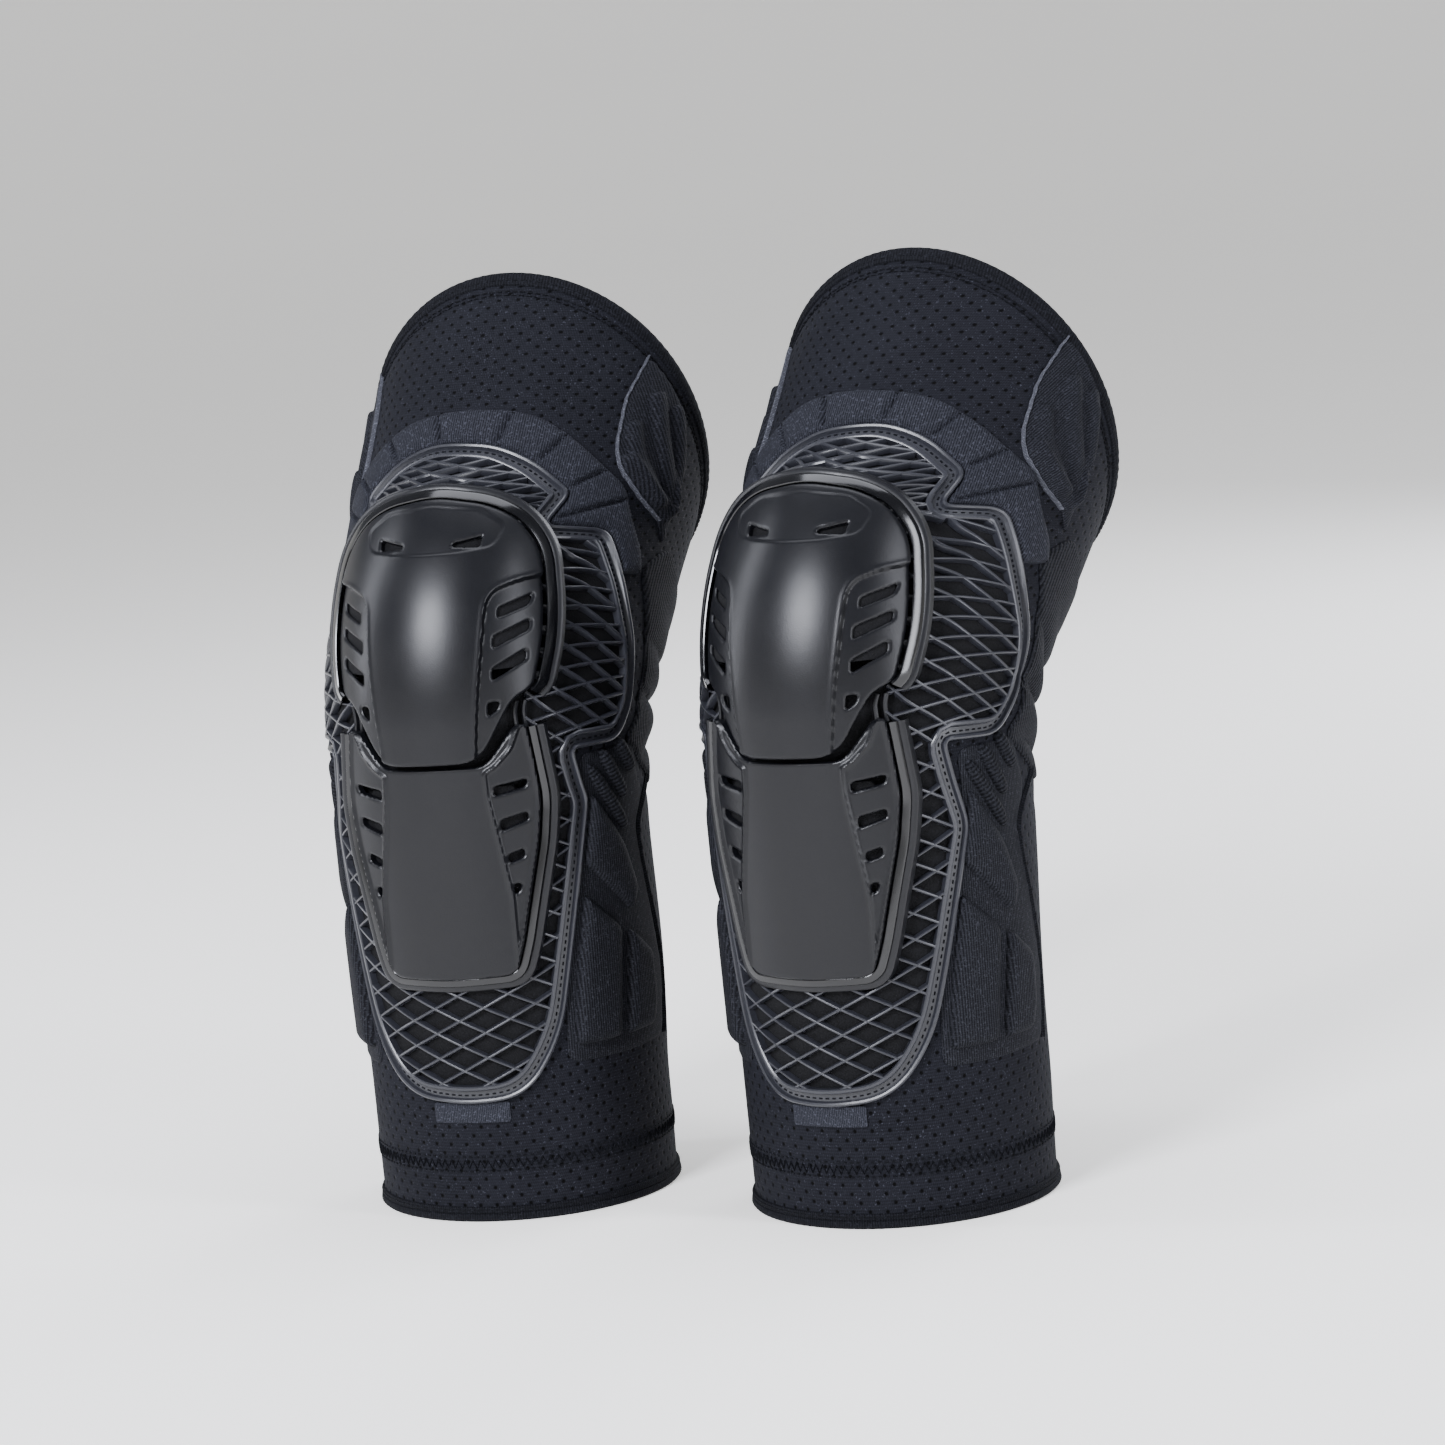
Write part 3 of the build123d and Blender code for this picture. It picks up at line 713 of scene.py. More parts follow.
def seams(side):
    """Piping behind the flank panels, the seam behind the knee and the tape down the back."""
    for flank, sign, shift in (("medial", 1, 0), ("lateral", -1, 5)):
        shape = Shape()
        path = rounded([((u + shift) * sign, v) for u, v in PIPING], 14, closed=False)
        strip(shape, cloth, path, PIPE)
        piece = shape.build(side, f"flank_piping_{flank}", BINDING, "binding")
        bend_lower(piece, side)
    tape = [(-5, -0.2), (-4.8, 0.7), (-1, 0.9), (-0.4, 0.5), (0.4, 0.5), (1, 0.9), (4.8, 0.7), (5, -0.2)]
    back = TURN / 2
    middle = float(split_v(back))
    ends = {"lower": (HEM_Z + 6, middle), "upper": (middle, float(rim_v(back)) - 6)}
    for half, (low, high) in ends.items():
        shape = Shape()
        v = np.arange(low, high + 0.5, 1.5)
        v[-1] = high
        line = np.stack([np.full_like(v, back), v], -1)
        strip(shape, cloth, line, tape)
        for offset in (-3, 3):
            dashes(shape, cloth, line + (offset, 0), 1.8, 3.0, base=0.7)
        piece = shape.build(side, f"back_tape_{half}", BINDING, "binding")
        BENDS[half](piece, side)


# ---- lattice web ----------------------------------------------------------------------------------
# right half of the outline with the radius of each corner; u, v, radius
WEB_MEDIAL = [(0, 58, 9), (25, 60, 30), (42, 84, 30), (49, 116, 30), (62.5, 179, 4), (56.5, 200.8, 2.5),
              (80, 200.5, 7), (89, 214, 12), (88.5, 238, 20), (74, 275, 20), (62, 298, 7), (37, 300.5, 4),
              (44, 317, 5), (27, 334, 14), (12, 342.5, 14), (0, 344.5, 9)]
WEB_LATERAL = [(0, 58, 9), (29, 61, 30), (47, 84, 30), (55, 112, 30), (69, 168, 5), (60, 202, 2.5),
               (86, 200.5, 8), (99, 217, 14), (98.5, 240, 20), (80, 280, 20), (67, 303, 8), (43.5, 304, 4),
               (48.5, 320, 6), (30, 338, 14), (14, 345, 14), (0, 344.5, 9)]


def corner_path(corners, step=1.2):
    """A closed outline whose corners each have their own radius."""
    p = np.array([c[:2] for c in corners], float)
    path = []
    for k, (x, y, radius) in enumerate(corners):
        before, here, after = p[k - 1], p[k], p[(k + 1) % len(p)]
        a, b = np.linalg.norm(before - here), np.linalg.norm(after - here)
        reach = min(radius, a / 2, b / 2)
        start, end = here + (before - here) * reach / a, here + (after - here) * reach / b
        for t in np.linspace(0, 1, 9):
            path.append((1 - t) ** 2 * start + 2 * t * (1 - t) * here + t * t * end)
    return even(np.array(path), step, closed=True)


WEB_EDGE = corner_path(WEB_MEDIAL + [(-u, v, r) for u, v, r in WEB_LATERAL[-2:0:-1]])
WEB_BORDER = 7.6
WEB_TOP = 3.3
CAP_HALF = [(0, 201.5), (22, 201.5), (36, 226), (43, 229), (46, 246), (46, 262), (43, 283), (34, 296),
            (22, 303), (0, 307)]
CAP_EDGE = rounded(mirrored(CAP_HALF), 9)
PLATE_HALF = [(0, 111.5), (27, 112.5), (31, 126), (39.5, 166), (41.5, 184), (38.5, 215), (34.5, 214.5),
              (22.5, 199), (0, 199)]
PLATE_EDGE = rounded(mirrored(PLATE_HALF), 5)
WEB_TUCK = 13.0                                  # the web's top lies this far behind the cap's edge


CAP_MIDDLE, CAP_REACH = np.array([0.0, 252.0]), np.array([43.0, 51.0])
LINING_SINK = 2.4


def web_skin(u, v, h=0.0, sink=0.0):
    """The web's surface: on the sleeve at its border, lifted towards the cap where it runs under it."""
    p = cloth(u, v, h)
    u, v, h = np.broadcast_arrays(*(np.asarray(a, float) for a in (u, v, h)))
    flat = p.reshape(-1, 3)
    front = flat[:, [0, 2]]
    far, _ = distance(front, CAP_EDGE)
    inside, _ = distance(np.stack([u.ravel(), v.ravel()], -1), WEB_EDGE[::3])
    off = (front - CAP_MIDDLE) / CAP_REACH
    under = CAP_MIDDLE + CAP_REACH * off / np.maximum(np.linalg.norm(off, axis=1, keepdims=True), 1)
    short = flat[:, 1] - (cap_face(under[:, 0], under[:, 1])[:, 1] + WEB_TUCK - h.ravel())
    share = (1 - smooth(far, 0, 34)) * smooth(-inside, WEB_BORDER - 1, WEB_BORDER + 18)
    share = share * smooth(v.ravel(), 190, 215) * (1 - smooth(np.abs(u.ravel()), 40, 60))
    lift = share * (short + np.sqrt(short**2 + 4)) / 2
    flat[:, 1] -= np.maximum(lift - sink, 0)
    return flat.reshape(p.shape)


def lining_skin(u, v, h=0.0):
    return web_skin(u, v, h, LINING_SINK)


WEB_BEAD = [(0.0, -0.3), (0.0, 1.9), (0.35, 2.75), (1.05, 3.1), (1.75, 2.7), (2.0, 1.9), (2.3, 1.3),
            (5.0, 1.3), (5.35, 1.9), (5.5, 3.2), (5.95, 3.65), (6.9, 3.65), (7.4, 3.2), (7.6, 0.5)]


def halves_of(path, closed=True):
    """The parts of a path below and above the ring that splits the sleeve, cut exactly on it."""
    p = np.vstack([path, path[:1]]) if closed else path
    over = p[:, 1] - split_v(p[:, 0])
    pieces, current, where = [], [p[0]], over[0] > 0
    for a, b, fa, fb in zip(p[:-1], p[1:], over[:-1], over[1:]):
        if (fa > 0) != (fb > 0):
            cut = a + (b - a) * fa / (fa - fb)
            current.append(cut)
            pieces.append(("upper" if where else "lower", np.array(current)))
            current, where = [cut], fb > 0
        current.append(b)
    pieces.append(("upper" if where else "lower", np.array(current)))
    if closed and len(pieces) > 1 and pieces[0][0] == pieces[-1][0]:
        half, last = pieces.pop()
        pieces[0] = (half, np.vstack([last, pieces[0][1][1:]]))
    return [(half, part) for half, part in pieces if len(part) > 1]


RIB = [(-0.95, 0.3), (-0.7, WEB_TOP - 0.9), (-0.42, WEB_TOP - 0.15), (0, WEB_TOP), (0.42, WEB_TOP - 0.15),
       (0.7, WEB_TOP - 0.9), (0.95, 0.3)]
CELL_WIDE, CELL_HIGH = 21.0, 10.5
RIB_REACH = 7.0                                  # ribs run on this far under the cap's edge
WING_PITCH, TOP_PITCH = 8.6, 4.6


def rib_lines():
    """Every rib's line (u, v) before it is cut to the web, and the zone that it belongs to."""
    lines = []
    slope = CELL_HIGH / CELL_WIDE
    t = np.linspace(-100, 100, 201)
    for k in range(0, 36):
        start = 20 + k * CELL_HIGH
        lines.append(("shin", np.stack([t, start + slope * t], -1)))
        lines.append(("shin", np.stack([t, start - slope * t], -1)))
    for k in range(-20, 60):
        start = 250 + k * TOP_PITCH
        for way in (-1, 1):
            bow = start + way * 0.24 * t - 0.0012 * t**2
            lines.append(("top", np.stack([t, bow], -1)))
    out = np.linspace(30, 100, 141)
    for way in (-1, 1):
        for k in range(-4, 16):
            start = 200 + k * WING_PITCH
            fan = (start - 236) * 0.0065
            level = start - fan * (out - 55) - 0.0022 * (out - 60) ** 2
            lines.append(("wing", np.stack([way * out, level], -1)))
        for k in range(-4, 24):
            start = 196 + k * WING_PITCH * 1.15
            lines.append(("wing", np.stack([way * out, start - 0.78 * (out - 50)], -1)))
    return lines


ZONES = {
    "shin": lambda u, v: v < 203,
    "top": lambda u, v: (v > 296) & (np.abs(u) < 52),
    "wing": lambda u, v: (v > 199) & (v < 304) & (np.abs(u) > 36),
}


def web_room(u, v):
    """True where there are ribs: inside the border, and not deep under the cap or under the plate."""
    inside, _ = distance(np.stack([u, v], -1), WEB_EDGE)
    front = skin(u, v, WEB_TOP)[:, [0, 2]]
    cap, _ = distance(front, CAP_EDGE)
    plate, _ = distance(front, PLATE_EDGE)
    return (inside < -WEB_BORDER + 0.9) & (cap > -RIB_REACH) & (plate > 1.5)


def runs(mask):
    """Start and end of each stretch of true values."""
    edges = np.flatnonzero(np.diff(np.concatenate([[0], mask.astype(int), [0]])))
    return list(zip(edges[::2], edges[1::2]))


def lattice_web(side):
    shapes = {"lower": Shape(), "upper": Shape()}
    stitches = {"lower": Shape(), "upper": Shape()}
    way = inside_of(WEB_EDGE)
    bead = [(way * a, h) for a, h in WEB_BEAD]
    groove = WEB_EDGE + across(WEB_EDGE, True) * way * 3.4
    for half, part in halves_of(WEB_EDGE):
        strip(shapes[half], web_skin, part, bead)
    for half, part in halves_of(groove):
        dashes(stitches[half], web_skin, part, 1.7, 3.0, width=0.7, height=0.35, base=1.25)
    for zone, line in rib_lines():
        mask = web_room(line[:, 0], line[:, 1]) & ZONES[zone](line[:, 0], line[:, 1])
        for start, end in runs(mask):
            if end - start < 6:
                continue
            for half, part in halves_of(line[start:end], closed=False):
                if np.linalg.norm(part[-1] - part[0]) > 1.5:
                    strip(shapes[half], web_skin, even(part, 1.5), RIB)
    for half, shape in shapes.items():
        piece = shape.build(side, f"lattice_web_{half}", WEB, "web")
        if half == "lower":
            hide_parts(f"{side}_lattice_web")
        BENDS[half](piece, side)
        thread = stitches[half].build(side, f"web_stitch_{half}", THREAD, "binding")
        BENDS[half](thread, side)


def web_lining(side):
    """The black foam sheet that shows through the web's cells."""
    inner = WEB_EDGE + across(WEB_EDGE, True) * inside_of(WEB_EDGE) * 4.5
    middle = split_v(inner[:, 0])
    for half, limit in (("lower", np.minimum), ("upper", np.maximum)):
        outline = np.stack([inner[:, 0], limit(inner[:, 1], middle)], -1)
        shape = Shape()
        patch(shape, lining_skin, even(outline, 1.5, True), 2.0, dome(0.5, 0.4, 1.0), -0.4)
        piece = shape.build(side, f"web_lining_{half}", FOAM, "foam")
        BENDS[half](piece, side)


# ---- knee cap and shin plate ----------------------------------------------------------------------
def twins(*outlines):
    """Each outline and its mirror image."""
    made = []
    for corners in outlines:
        made.append(rounded(corners, 1.2, 0.6))
        made.append(rounded([(-x, y) for x, y in reversed(corners)], 1.2, 0.6))
    return made


CAP_SLOTS = twins(
    [(31, 259), (41.5, 262.5), (42.5, 266.5), (31, 263)],
    [(29.5, 247), (42, 252.5), (42, 256.5), (29.5, 252)],
    [(29, 234), (41, 240.5), (41, 245), (29, 239)],
    [(26.5, 219.5), (30.5, 222), (31.5, 225.5), (27, 225.5)],
    [(11, 288), (22, 287), (22.6, 291.5), (11, 289.5)],
)
CAP_RECESS = [(54, 274), (36, 272), (28.5, 269.5), (26, 265), (24.8, 245), (20, 198), (54, 198)]
CAP_BROW = [(-27, 286.5), (-14, 285.3), (0, 285), (14, 285.3), (27, 286.5), (30, 294), (20, 301), (0, 303.5),
            (-20, 301), (-30, 294)]
PLATE_SLOTS = twins(
    [(24.5, 186.5), (36.5, 189), (37.5, 192.5), (24.5, 190.5)],
    [(26, 172), (36.5, 175.5), (36.5, 179), (26, 176.5)],
    [(28, 158.5), (34, 160.5), (34, 164), (27.5, 162)],
    [(29, 145.5), (31, 146.5), (32, 150), (29, 150)],
)
PLATE_WING = [(38.5, 216), (34.5, 215), (31, 206), (25, 199.5), (20.5, 197), (21, 186), (24, 165), (27, 144),
              (27, 112), (31, 126), (35.5, 148), (39.5, 167), (41.5, 184), (40.5, 201)]
EDGE_DROP, EDGE_REACH = 0.7, 1.1


def edge_round(depth):
    """How far a moulded edge falls away within its rounding."""
    return -EDGE_DROP * (1 - np.sqrt(np.clip(1 - (1 - np.clip(depth / EDGE_REACH, 0, 1)) ** 2, 0, 1)))


def cap_relief(spots, depth):
    """The dome, its raised middle panel, the sunk side panels and the sunk brow."""
    folded = np.stack([np.abs(spots[:, 0]), spots[:, 1]], -1)
    recess, _ = distance(folded, rounded(CAP_RECESS, 2.5))
    brow, _ = distance(spots, rounded(CAP_BROW, 3))
    panel = 1 - smooth(recess, -0.7, 0.6)
    lip = np.exp(-(((recess - 1.0) / 0.9) ** 2))
    return edge_round(depth) - 1.7 * panel + 0.25 * lip - 0.45 * (1 - smooth(brow, -0.5, 0.5))


def plate_relief(spots, depth):
    """The smooth middle panel and the two side wings with their beaded edges."""
    folded = np.stack([np.abs(spots[:, 0]), spots[:, 1]], -1)
    wing, _ = distance(folded, rounded(PLATE_WING, 1.5))
    floor = 1 - smooth(wing, -0.5, 0.4)
    bead = np.exp(-(((wing + 1.1) / 0.75) ** 2))
    return edge_round(depth) + 0.15 * floor + 1.05 * bead


def part_of(path, test):
    """The stretch of a closed path where a test holds, in order."""
    mask = test(path)
    start = int(np.flatnonzero(~mask & np.roll(mask, -1))[0]) + 1
    turned = np.roll(path, -start, 0)
    return turned[: int(mask.sum())]


def frame_strip(shape, path, surface, section):
    """A rim's section of (outwards, backwards) points carried along the edge of a hard part."""
    normal = across(path) * -inside_of(path)
    section = np.array(section, float)
    y = surface(path[:, 0], path[:, 1])[:, 1]
    x = path[:, None, 0] + normal[:, None, 0] * section[None, :, 0]
    z = path[:, None, 1] + normal[:, None, 1] * section[None, :, 0]
    depth = y[:, None] + section[None, :, 1]
    rings = np.stack([x, depth, z], -1)
    run = np.arange(len(path)) * OUTLINE_STEP
    coords = np.stack(np.meshgrid(run, np.append(section[:, 0], section[0, 0]), indexing="ij"), -1)
    shape.tube(rings, coords)


CAP_BEVEL = [(-0.7, 2.2), (0.1, 1.0), (0.6, 0.9), (2.6, 3.2), (3.3, 4.6), (3.3, 7.0), (-0.7, 7.0)]
CAP_FLANGE = [(2.8, 4.9), (3.2, 4.9), (4.6, 5.6), (5.2, 6.3), (5.2, 9.5), (2.8, 9.5)]
PLATE_BEVEL = [(-0.6, 1.6), (0.2, 1.0), (0.6, 1.0), (2.9, 1.9), (3.3, 2.7), (3.3, 5.5), (-0.6, 5.5)]
PLATE_FLANGE = [(2.9, 3.2), (3.4, 3.2), (5.1, 3.6), (5.7, 4.3), (5.7, 8.0), (2.9, 8.0)]


SHELL_STEP, SHELL_BACK = 0.55, -3.0
CAP_RIM_FROM = 228.0                             # the cap's rim is open below this height
PLATE_RIM_TO, PLATE_RIM_MIDDLE = 214, 190        # the plate's rim stops here on the wings, and between them
PLATE_WING_FROM = 36


def on_cap_rim(p):
    return p[:, 1] > CAP_RIM_FROM


def on_plate_rim(p):
    low = (p[:, 1] < PLATE_RIM_MIDDLE) | (np.abs(p[:, 0]) > PLATE_WING_FROM)
    return (p[:, 1] < PLATE_RIM_TO) & low


def hard_shell(side, body, node, part, surface, edge, relief, slots, on_rim, bevel, flange):
    """A vented shell with its glossy bevel and the flange under it."""
    shape = Shape()
    patch(shape, surface, edge, SHELL_STEP, relief, SHELL_BACK, slots)
    piece = shape.build(side, f"vented_{node}", SHELL, "shell")
    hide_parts(f"{side}_{node}")
    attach(piece, f"{side}_{body}")
    path = part_of(edge, on_rim)
    for kind, section, material, slot in (
        ("bevel", bevel, GLOSS, "gloss_rim"), ("flange", flange, FLANGE, "shell"),
    ):
        ring = Shape()
        frame_strip(ring, path, surface, section)
        piece = ring.build(side, f"{part}_{kind}", material, slot)
        if kind == "bevel":
            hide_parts(f"{side}_{node}_rim")
        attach(piece, f"{side}_{body}")


def knee_cap(side):
    hard_shell(side, "cap", "knee_cap", "cap", cap_face, CAP_EDGE, cap_relief, CAP_SLOTS,
               on_cap_rim, CAP_BEVEL, CAP_FLANGE)


def shin_plate(side):
    hard_shell(side, "shin", "shin_plate", "plate", plate_face, PLATE_EDGE, plate_relief, PLATE_SLOTS,
               on_plate_rim, PLATE_BEVEL, PLATE_FLANGE)


LINK_LINES = ([(36.8, 224), (35.5, 220), (36, 213)], [(40, 224), (39, 220), (39.5, 213)])
LINK_BACK = 4.2


def link_bars(side):
    """The slim moulded bars that show between the cap's corners and the plate's wing tips."""
    shape = Shape()
    for line in LINK_LINES:
        for sign in (-1, 1):
            path = rounded([(x * sign, z) for x, z in line], 3, 0.8, closed=False)
            strip(shape, lambda x, z, h: plate_face(x, z, h - LINK_BACK), path,
                  [(-0.8, -0.8), (-0.7, 0.5), (0, 0.9), (0.7, 0.5), (0.8, -0.8)])
    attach(shape.build(side, "cap_link_bars", FLANGE, "shell"), f"{side}_shin")


# ---- padded and knitted pieces --------------------------------------------------------------------
FRONT_BLOCK = [(47, 78), (70, 78), (75, 124), (57, 141), (51, 110)]
REAR_BLOCK = [(73.5, 78), (92, 78.5), (95.5, 90), (95, 110), (79.5, 123)]
WEDGE = [(58.5, 153), (83, 128), (88.5, 138), (81, 158), (64.5, 183)]
TUBES = ([(64, 193), (84, 163)], [(71, 198), (85, 176)], [(80, 201), (92, 186)])
FLANK_BASE = [(44, 71.5), (72, 71), (104, 72), (108, 100), (101, 130), (93, 163), (102, 174), (94, 198),
              (60, 198), (62, 180), (52, 135), (45, 100)]
BIB_TOP = [(84, 275), (81, 286), (71, 305), (65, 321), (56, 329), (40, 346), (26, 357.5), (14, 361.5),
           (0, 363)]
BIB_LOW_V = 275.0
BIB_CENTRE = (0.0, 290.0)
BIB_GROOVES = (12.0, 33.0, 55.0, 71.0)           # degrees each side of straight up
WING = [(61, 391), (56, 368), (57, 342), (61, 330), (74, 314), (87, 303), (94, 290), (94, 310), (93, 332),
        (85, 360), (72, 379)]
WING_RIBS = ([(62, 352), (67, 335), (79, 318), (90, 305)], [(69, 368), (76, 346), (85, 325), (92, 308)],
             [(80, 362), (86, 346), (91, 326), (93, 310)], [(63, 334), (72, 323), (82, 312)])
KNEE_PANEL = [(86, 200), (96, 206), (100, 222), (99, 240), (92, 262), (84, 278), (100, 290), (124, 268),
              (150, 240), (160, 212), (158, 186), (140, 172), (118, 176), (100, 190)]


def flanked(corners, sign, shift):
    """A medial outline carried to a flank; the lateral one lies a little further round."""
    return [((u + shift) * sign, v) for u, v in corners]


def ridge(spots, path, width):
    """1 along a path, falling to 0 at a width from it."""
    far, _ = distance(spots, np.vstack([path, path[::-1] + 0.01]))
    return np.clip(1 - (far / width) ** 2, 0, 1) ** 0.5


def flank_pads(side, flank, sign, shift):
    base = Shape()
    outline = rounded(flanked(FLANK_BASE, sign, shift), 5)
    patch(base, cloth, outline, 1.8, dome(0.9, 0.35, 2.0), -0.3)
    piece = base.build(side, f"flank_panel_{flank}", SIDE_JERSEY, "pad_knit")
    bend_lower(piece, side)
    blocks = Shape()
    for corners, height, radius in ((FRONT_BLOCK, 4.8, 5.0), (REAR_BLOCK, 4.4, 5.0), (WEDGE, 4.6, 6.0)):
        outline = rounded(flanked(corners, sign, shift), 3.5)
        patch(blocks, cloth, outline, 1.1, dome(height, 0.7, radius), -0.2)
    piece = blocks.build(side, f"flank_blocks_{flank}", SIDE_JERSEY, "pad_knit")
    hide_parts(f"{side}_shin_side_pad_{flank}")
    bend_lower(piece, side)
    tubes = Shape()
    arch = [(3.1 * cos(a), 0.3 + 3.6 * sin(a)) for a in np.linspace(pi, 0, 9)]
    for line in TUBES:
        path = even(np.array(flanked(line, sign, shift), float), 1.0)
        run = np.linspace(-1, 1, len(path))
        taper = np.sqrt(np.clip(1 - np.abs(run) ** 5, 0.06, 1))
        side_way = across(path)
        rings = []
        for spot, way, size in zip(path, side_way, taper):
            flat = [spot + way * a * size for a, _ in arch]
            rings.append(cloth([p[0] for p in flat], [p[1] for p in flat], [h * size for _, h in arch]))
        coords = np.stack(np.meshgrid(np.arange(len(path)), np.arange(len(arch) + 1), indexing="ij"), -1)
        tubes.tube(np.array(rings), coords * 1.0)
    piece = tubes.build(side, f"flank_tubes_{flank}", RIBBED, "pad_knit")
    bend_lower(piece, side)


def knee_panel(side, flank, sign, shift):
    """The ribbed stretch panel that bunches behind the knee, split with the sleeve."""
    outline = rounded(flanked(KNEE_PANEL, sign, shift), 8)
    for half in ("lower", "upper"):
        limit = split_v(outline[:, 0])
        cut = outline.copy()
        cut[:, 1] = np.minimum(cut[:, 1], limit) if half == "lower" else np.maximum(cut[:, 1], limit)
        shape = Shape()
        patch(shape, cloth, even(cut, 1.2, True), 1.3, dome(1.3, 0.5, 1.5), -0.3)
        piece = shape.build(side, f"stretch_panel_{flank}_{half}", RIBBED, "stretch_knit")
        if half == "lower":
            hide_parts(f"{side}_knee_panel_{flank}")
        BENDS[half](piece, side)


def bib(side):
    """The arched pad above the web, with pressed grooves that fan out from the knee."""
    arch = rounded(BIB_TOP + [(-u * 1.14, v) for u, v in BIB_TOP[-2::-1]], 9, closed=False)
    inner = part_of(WEB_EDGE, lambda p: p[:, 1] > BIB_LOW_V)
    if inner[0, 0] * arch[-1, 0] < 0:
        inner = inner[::-1]
    outline = np.vstack([arch, inner])
    plain = dome(3.6, 0.6, 4.0)

    def top(spots, depth):
        angle = np.degrees(np.arctan2(np.abs(spots[:, 0] - BIB_CENTRE[0]), spots[:, 1] - BIB_CENTRE[1]))
        reach = np.hypot(spots[:, 0] - BIB_CENTRE[0], spots[:, 1] - BIB_CENTRE[1])
        height = plain(spots, depth)
        for groove in BIB_GROOVES:
            away = np.abs(np.radians(angle - groove)) * reach
            height = height - 2.3 * np.exp(-((away / 1.1) ** 2)) * smooth(depth, 1.0, 3.5)
        return height

    shape = Shape()
    patch(shape, cloth, outline, 1.0, top, -0.3)
    piece = shape.build(side, "arched_bib", JERSEY, "pad_knit")
    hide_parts(f"{side}_thigh_bib_pad")
    bend_upper(piece, side)
    inset = arch - across(arch) * 1.8
    thread = Shape()
    dashes(thread, cloth, inset, 1.6, 3.2, width=0.7, base=2.4)
    piece = thread.build(side, "bib_stitch", THREAD, "binding")
    bend_upper(piece, side)


def leaf_wing(side, flank, sign, shift):
    """The leaf-shaped knit wing, its pressed ribs and its raw cut front edge."""
    outline = rounded(flanked(WING, sign, shift), 5)
    rib_paths = [rounded(flanked(rib, sign, shift), 4, closed=False) for rib in WING_RIBS]

    def top(spots, depth):
        height = dome(1.4, 0.8, 1.5)(spots, depth)
        for path in rib_paths:
            height = height + 2.2 * ridge(spots, path, 3.4) * smooth(depth, 0.0, 2.5)
        return height

    shape = Shape()
    patch(shape, cloth, outline, 1.0, top, -0.2)
    piece = shape.build(side, f"leaf_wing_{flank}", WING_KNIT, "wing_knit")
    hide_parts(f"{side}_thigh_wing_{flank}")
    bend_upper(piece, side)
    edge = rounded(flanked(WING[:6], sign, shift), 5, closed=False)
    wobble = 0.12 * np.sin(np.arange(len(edge)) * 1.3)[:, None]
    edge = edge + across(edge) * wobble
    raw = Shape()
    section = [(-0.45, -0.2), (-0.45, 1.3), (-0.2, 1.8), (0.2, 1.8), (0.45, 1.3), (0.45, -0.2)]
    strip(raw, cloth, edge, section)
    piece = raw.build(side, f"wing_raw_edge_{flank}", RAW_EDGE, "wing_knit")
    bend_upper(piece, side)


def label_tab(side):
    outline = rounded([(-17, 50), (17, 50), (17, 58.5), (-17, 58.5)], 0.6, 0.8)
    shape = Shape()
    patch(shape, cloth, outline, 0.9, dome(1.1, 0.8, 0.6), 0.1)
    piece = shape.build(side, "woven_tab", WOVEN, "label")
    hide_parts(f"{side}_label_tab")
    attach(piece, f"{side}_shin")


CARRIED = {"shin_grip_band": SILICONE, "thigh_grip_band": SILICONE, "knee_foam": FOAM, "shin_foam": FOAM}


def carried_nodes(side):
    """Hidden pads and grips keep their CAD shape and take a finish."""
    for node, material in CARRIED.items():
        obj = frame["nodes"][f"{side}_{node}"]
        for spot in obj.material_slots:
            spot.material = material
        if not obj.material_slots:
            obj.data.materials.append(material)


def guard(side):
    sleeve(side)
    rim = hem(side, "rim_binding", "thigh_hem_binding", rim_v, UPPER_HEM)
    bend_upper(rim, side)
    cuff = hem(side, "cuff_binding", "shin_hem_binding", lambda u: HEM_Z + 0 * u, LOWER_HEM)
    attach(cuff, f"{side}_shin")
    hem_stitches(side)
    seams(side)
    web_lining(side)
    lattice_web(side)
    knee_cap(side)
    shin_plate(side)
    link_bars(side)
    for flank, sign, shift in (("medial", 1, 0.0), ("lateral", -1, 6.0)):
        flank_pads(side, flank, sign, shift)
        knee_panel(side, flank, sign, shift)
        leaf_wing(side, flank, sign, shift)
    bib(side)
    label_tab(side)
    carried_nodes(side)


# ---- floor, light and camera ----------------------------------------------------------------------
FLOOR_RINGS = [(5.0, 0.0), (9.0, 0.0), (12.0, 0.5), (14.0, 2.0), (15.0, 4.5)]     # radius and height, metres
FLOOR_SPOKES = 96


def floor():
    """A pale round floor that sweeps up at its far edge."""
    angles = np.linspace(0, 2 * pi, FLOOR_SPOKES, endpoint=False)
    points = [(0, 0, 0)] + [(r * cos(a), r * sin(a), z) for r, z in FLOOR_RINGS for a in angles]
    faces = [(0, 1 + k, 1 + (k + 1) % FLOOR_SPOKES) for k in range(FLOOR_SPOKES)]
    for ring in range(len(FLOOR_RINGS) - 1):
        first = 1 + ring * FLOOR_SPOKES
        for k in range(FLOOR_SPOKES):
            a, b = first + k, first + (k + 1) % FLOOR_SPOKES
            faces.append((a, a + FLOOR_SPOKES, b + FLOOR_SPOKES, b))
    mesh = bpy.data.meshes.new("floor")
    mesh.from_pydata(points, [], faces)
    mesh.polygons.foreach_set("use_smooth", [True] * len(faces))
    mesh.materials.append(floor_finish())
    obj = bpy.data.objects.new("floor", mesh)
    bpy.context.scene.collection.objects.link(obj)


COOL = (0.9, 0.92, 1.0)


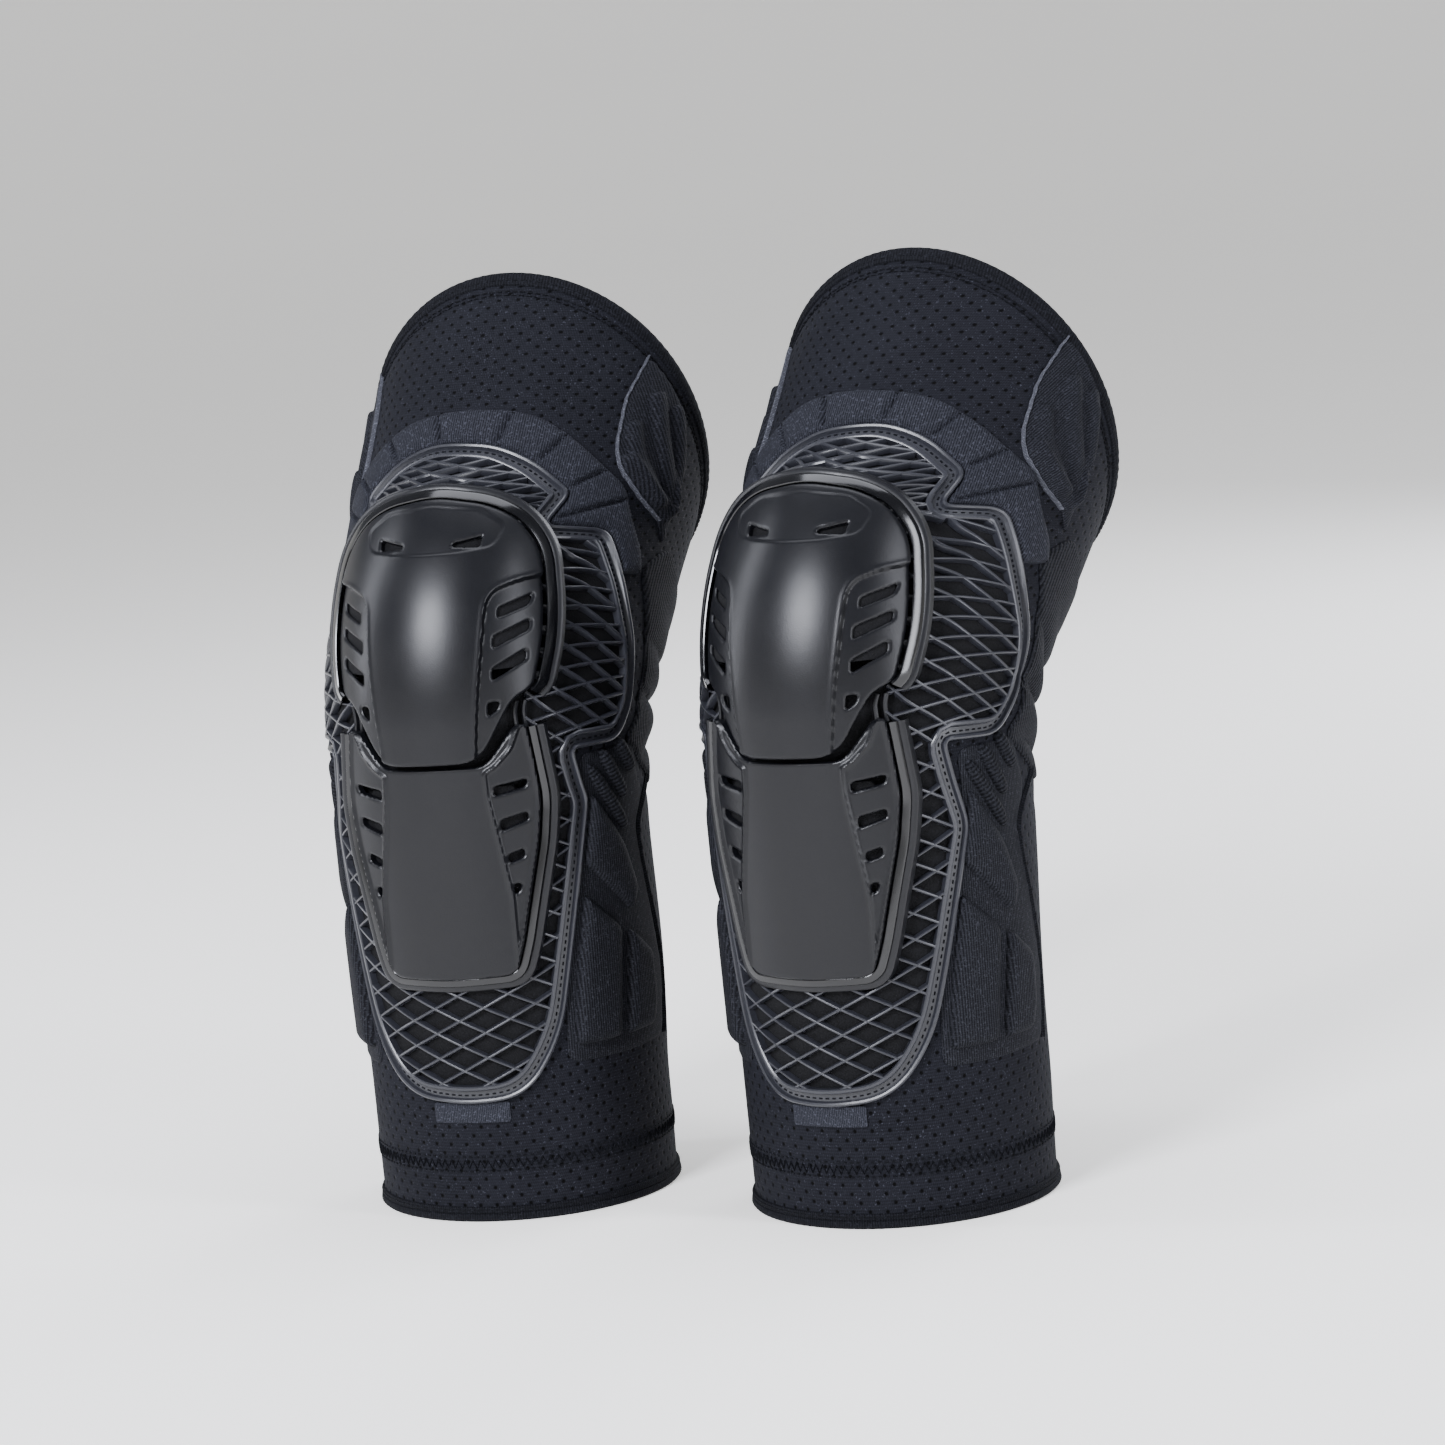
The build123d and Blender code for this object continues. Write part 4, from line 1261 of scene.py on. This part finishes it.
def area_light(name, place, target, size, power, shade):
    light = bpy.data.lights.new(name, "AREA")
    light.shape = "RECTANGLE"
    light.size, light.size_y = size
    light.energy = power
    light.color = shade
    obj = bpy.data.objects.new(name, light)
    obj.location = place
    obj.rotation_euler = (Vector(target) - Vector(place)).to_track_quat("-Z", "Y").to_euler()
    bpy.context.scene.collection.objects.link(obj)


def studio():
    world = bpy.data.worlds.new("studio")
    world.use_nodes = True
    world.node_tree.nodes["Background"].inputs["Color"].default_value = (0.88, 0.91, 1.0, 1)
    world.node_tree.nodes["Background"].inputs["Strength"].default_value = 0.24
    bpy.context.scene.world = world
    aim = (0, 0, 0.2)
    area_light("key", (-0.35, -1.9, 1.35), aim, (0.7, 0.7), 80, COOL)
    area_light("left_strip", (-1.7, -0.4, 0.9), aim, (0.3, 1.6), 18, COOL)
    area_light("right_strip", (1.7, -0.5, 0.8), aim, (0.3, 1.6), 24, COOL)
    area_light("top", (0, 0.3, 1.9), aim, (1.6, 1.0), 22, COOL)
    area_light("back", (0.5, 1.9, 0.9), aim, (0.9, 0.9), 26, COOL)


CAMERA_PLACE = (0.828, -1.890, 0.500)
CAMERA_AZIMUTH, CAMERA_DROP, CAMERA_ROLL = radians(-23.4), radians(8.5), radians(-5.0)
CAMERA_LENS, SENSOR = 124.6, 36.0


def camera():
    level_part = cos(CAMERA_DROP)
    east, north = sin(CAMERA_AZIMUTH) * level_part, cos(CAMERA_AZIMUTH) * level_part
    forward = Vector((east, north, -sin(CAMERA_DROP)))
    level = forward.cross(Vector((0, 0, 1))).normalized()
    upright = level.cross(forward)
    right = level * cos(CAMERA_ROLL) + upright * sin(CAMERA_ROLL)
    up = upright * cos(CAMERA_ROLL) - level * sin(CAMERA_ROLL)
    data = bpy.data.cameras.new("camera")
    data.lens = CAMERA_LENS
    data.sensor_width = SENSOR
    obj = bpy.data.objects.new("camera", data)
    turn = Matrix((right, up, -forward)).transposed().to_4x4()
    obj.matrix_world = Matrix.Translation(CAMERA_PLACE) @ turn
    bpy.context.scene.collection.objects.link(obj)
    bpy.context.scene.camera = obj


for side in SIDES:
    guard(side)
floor()
studio()
camera()
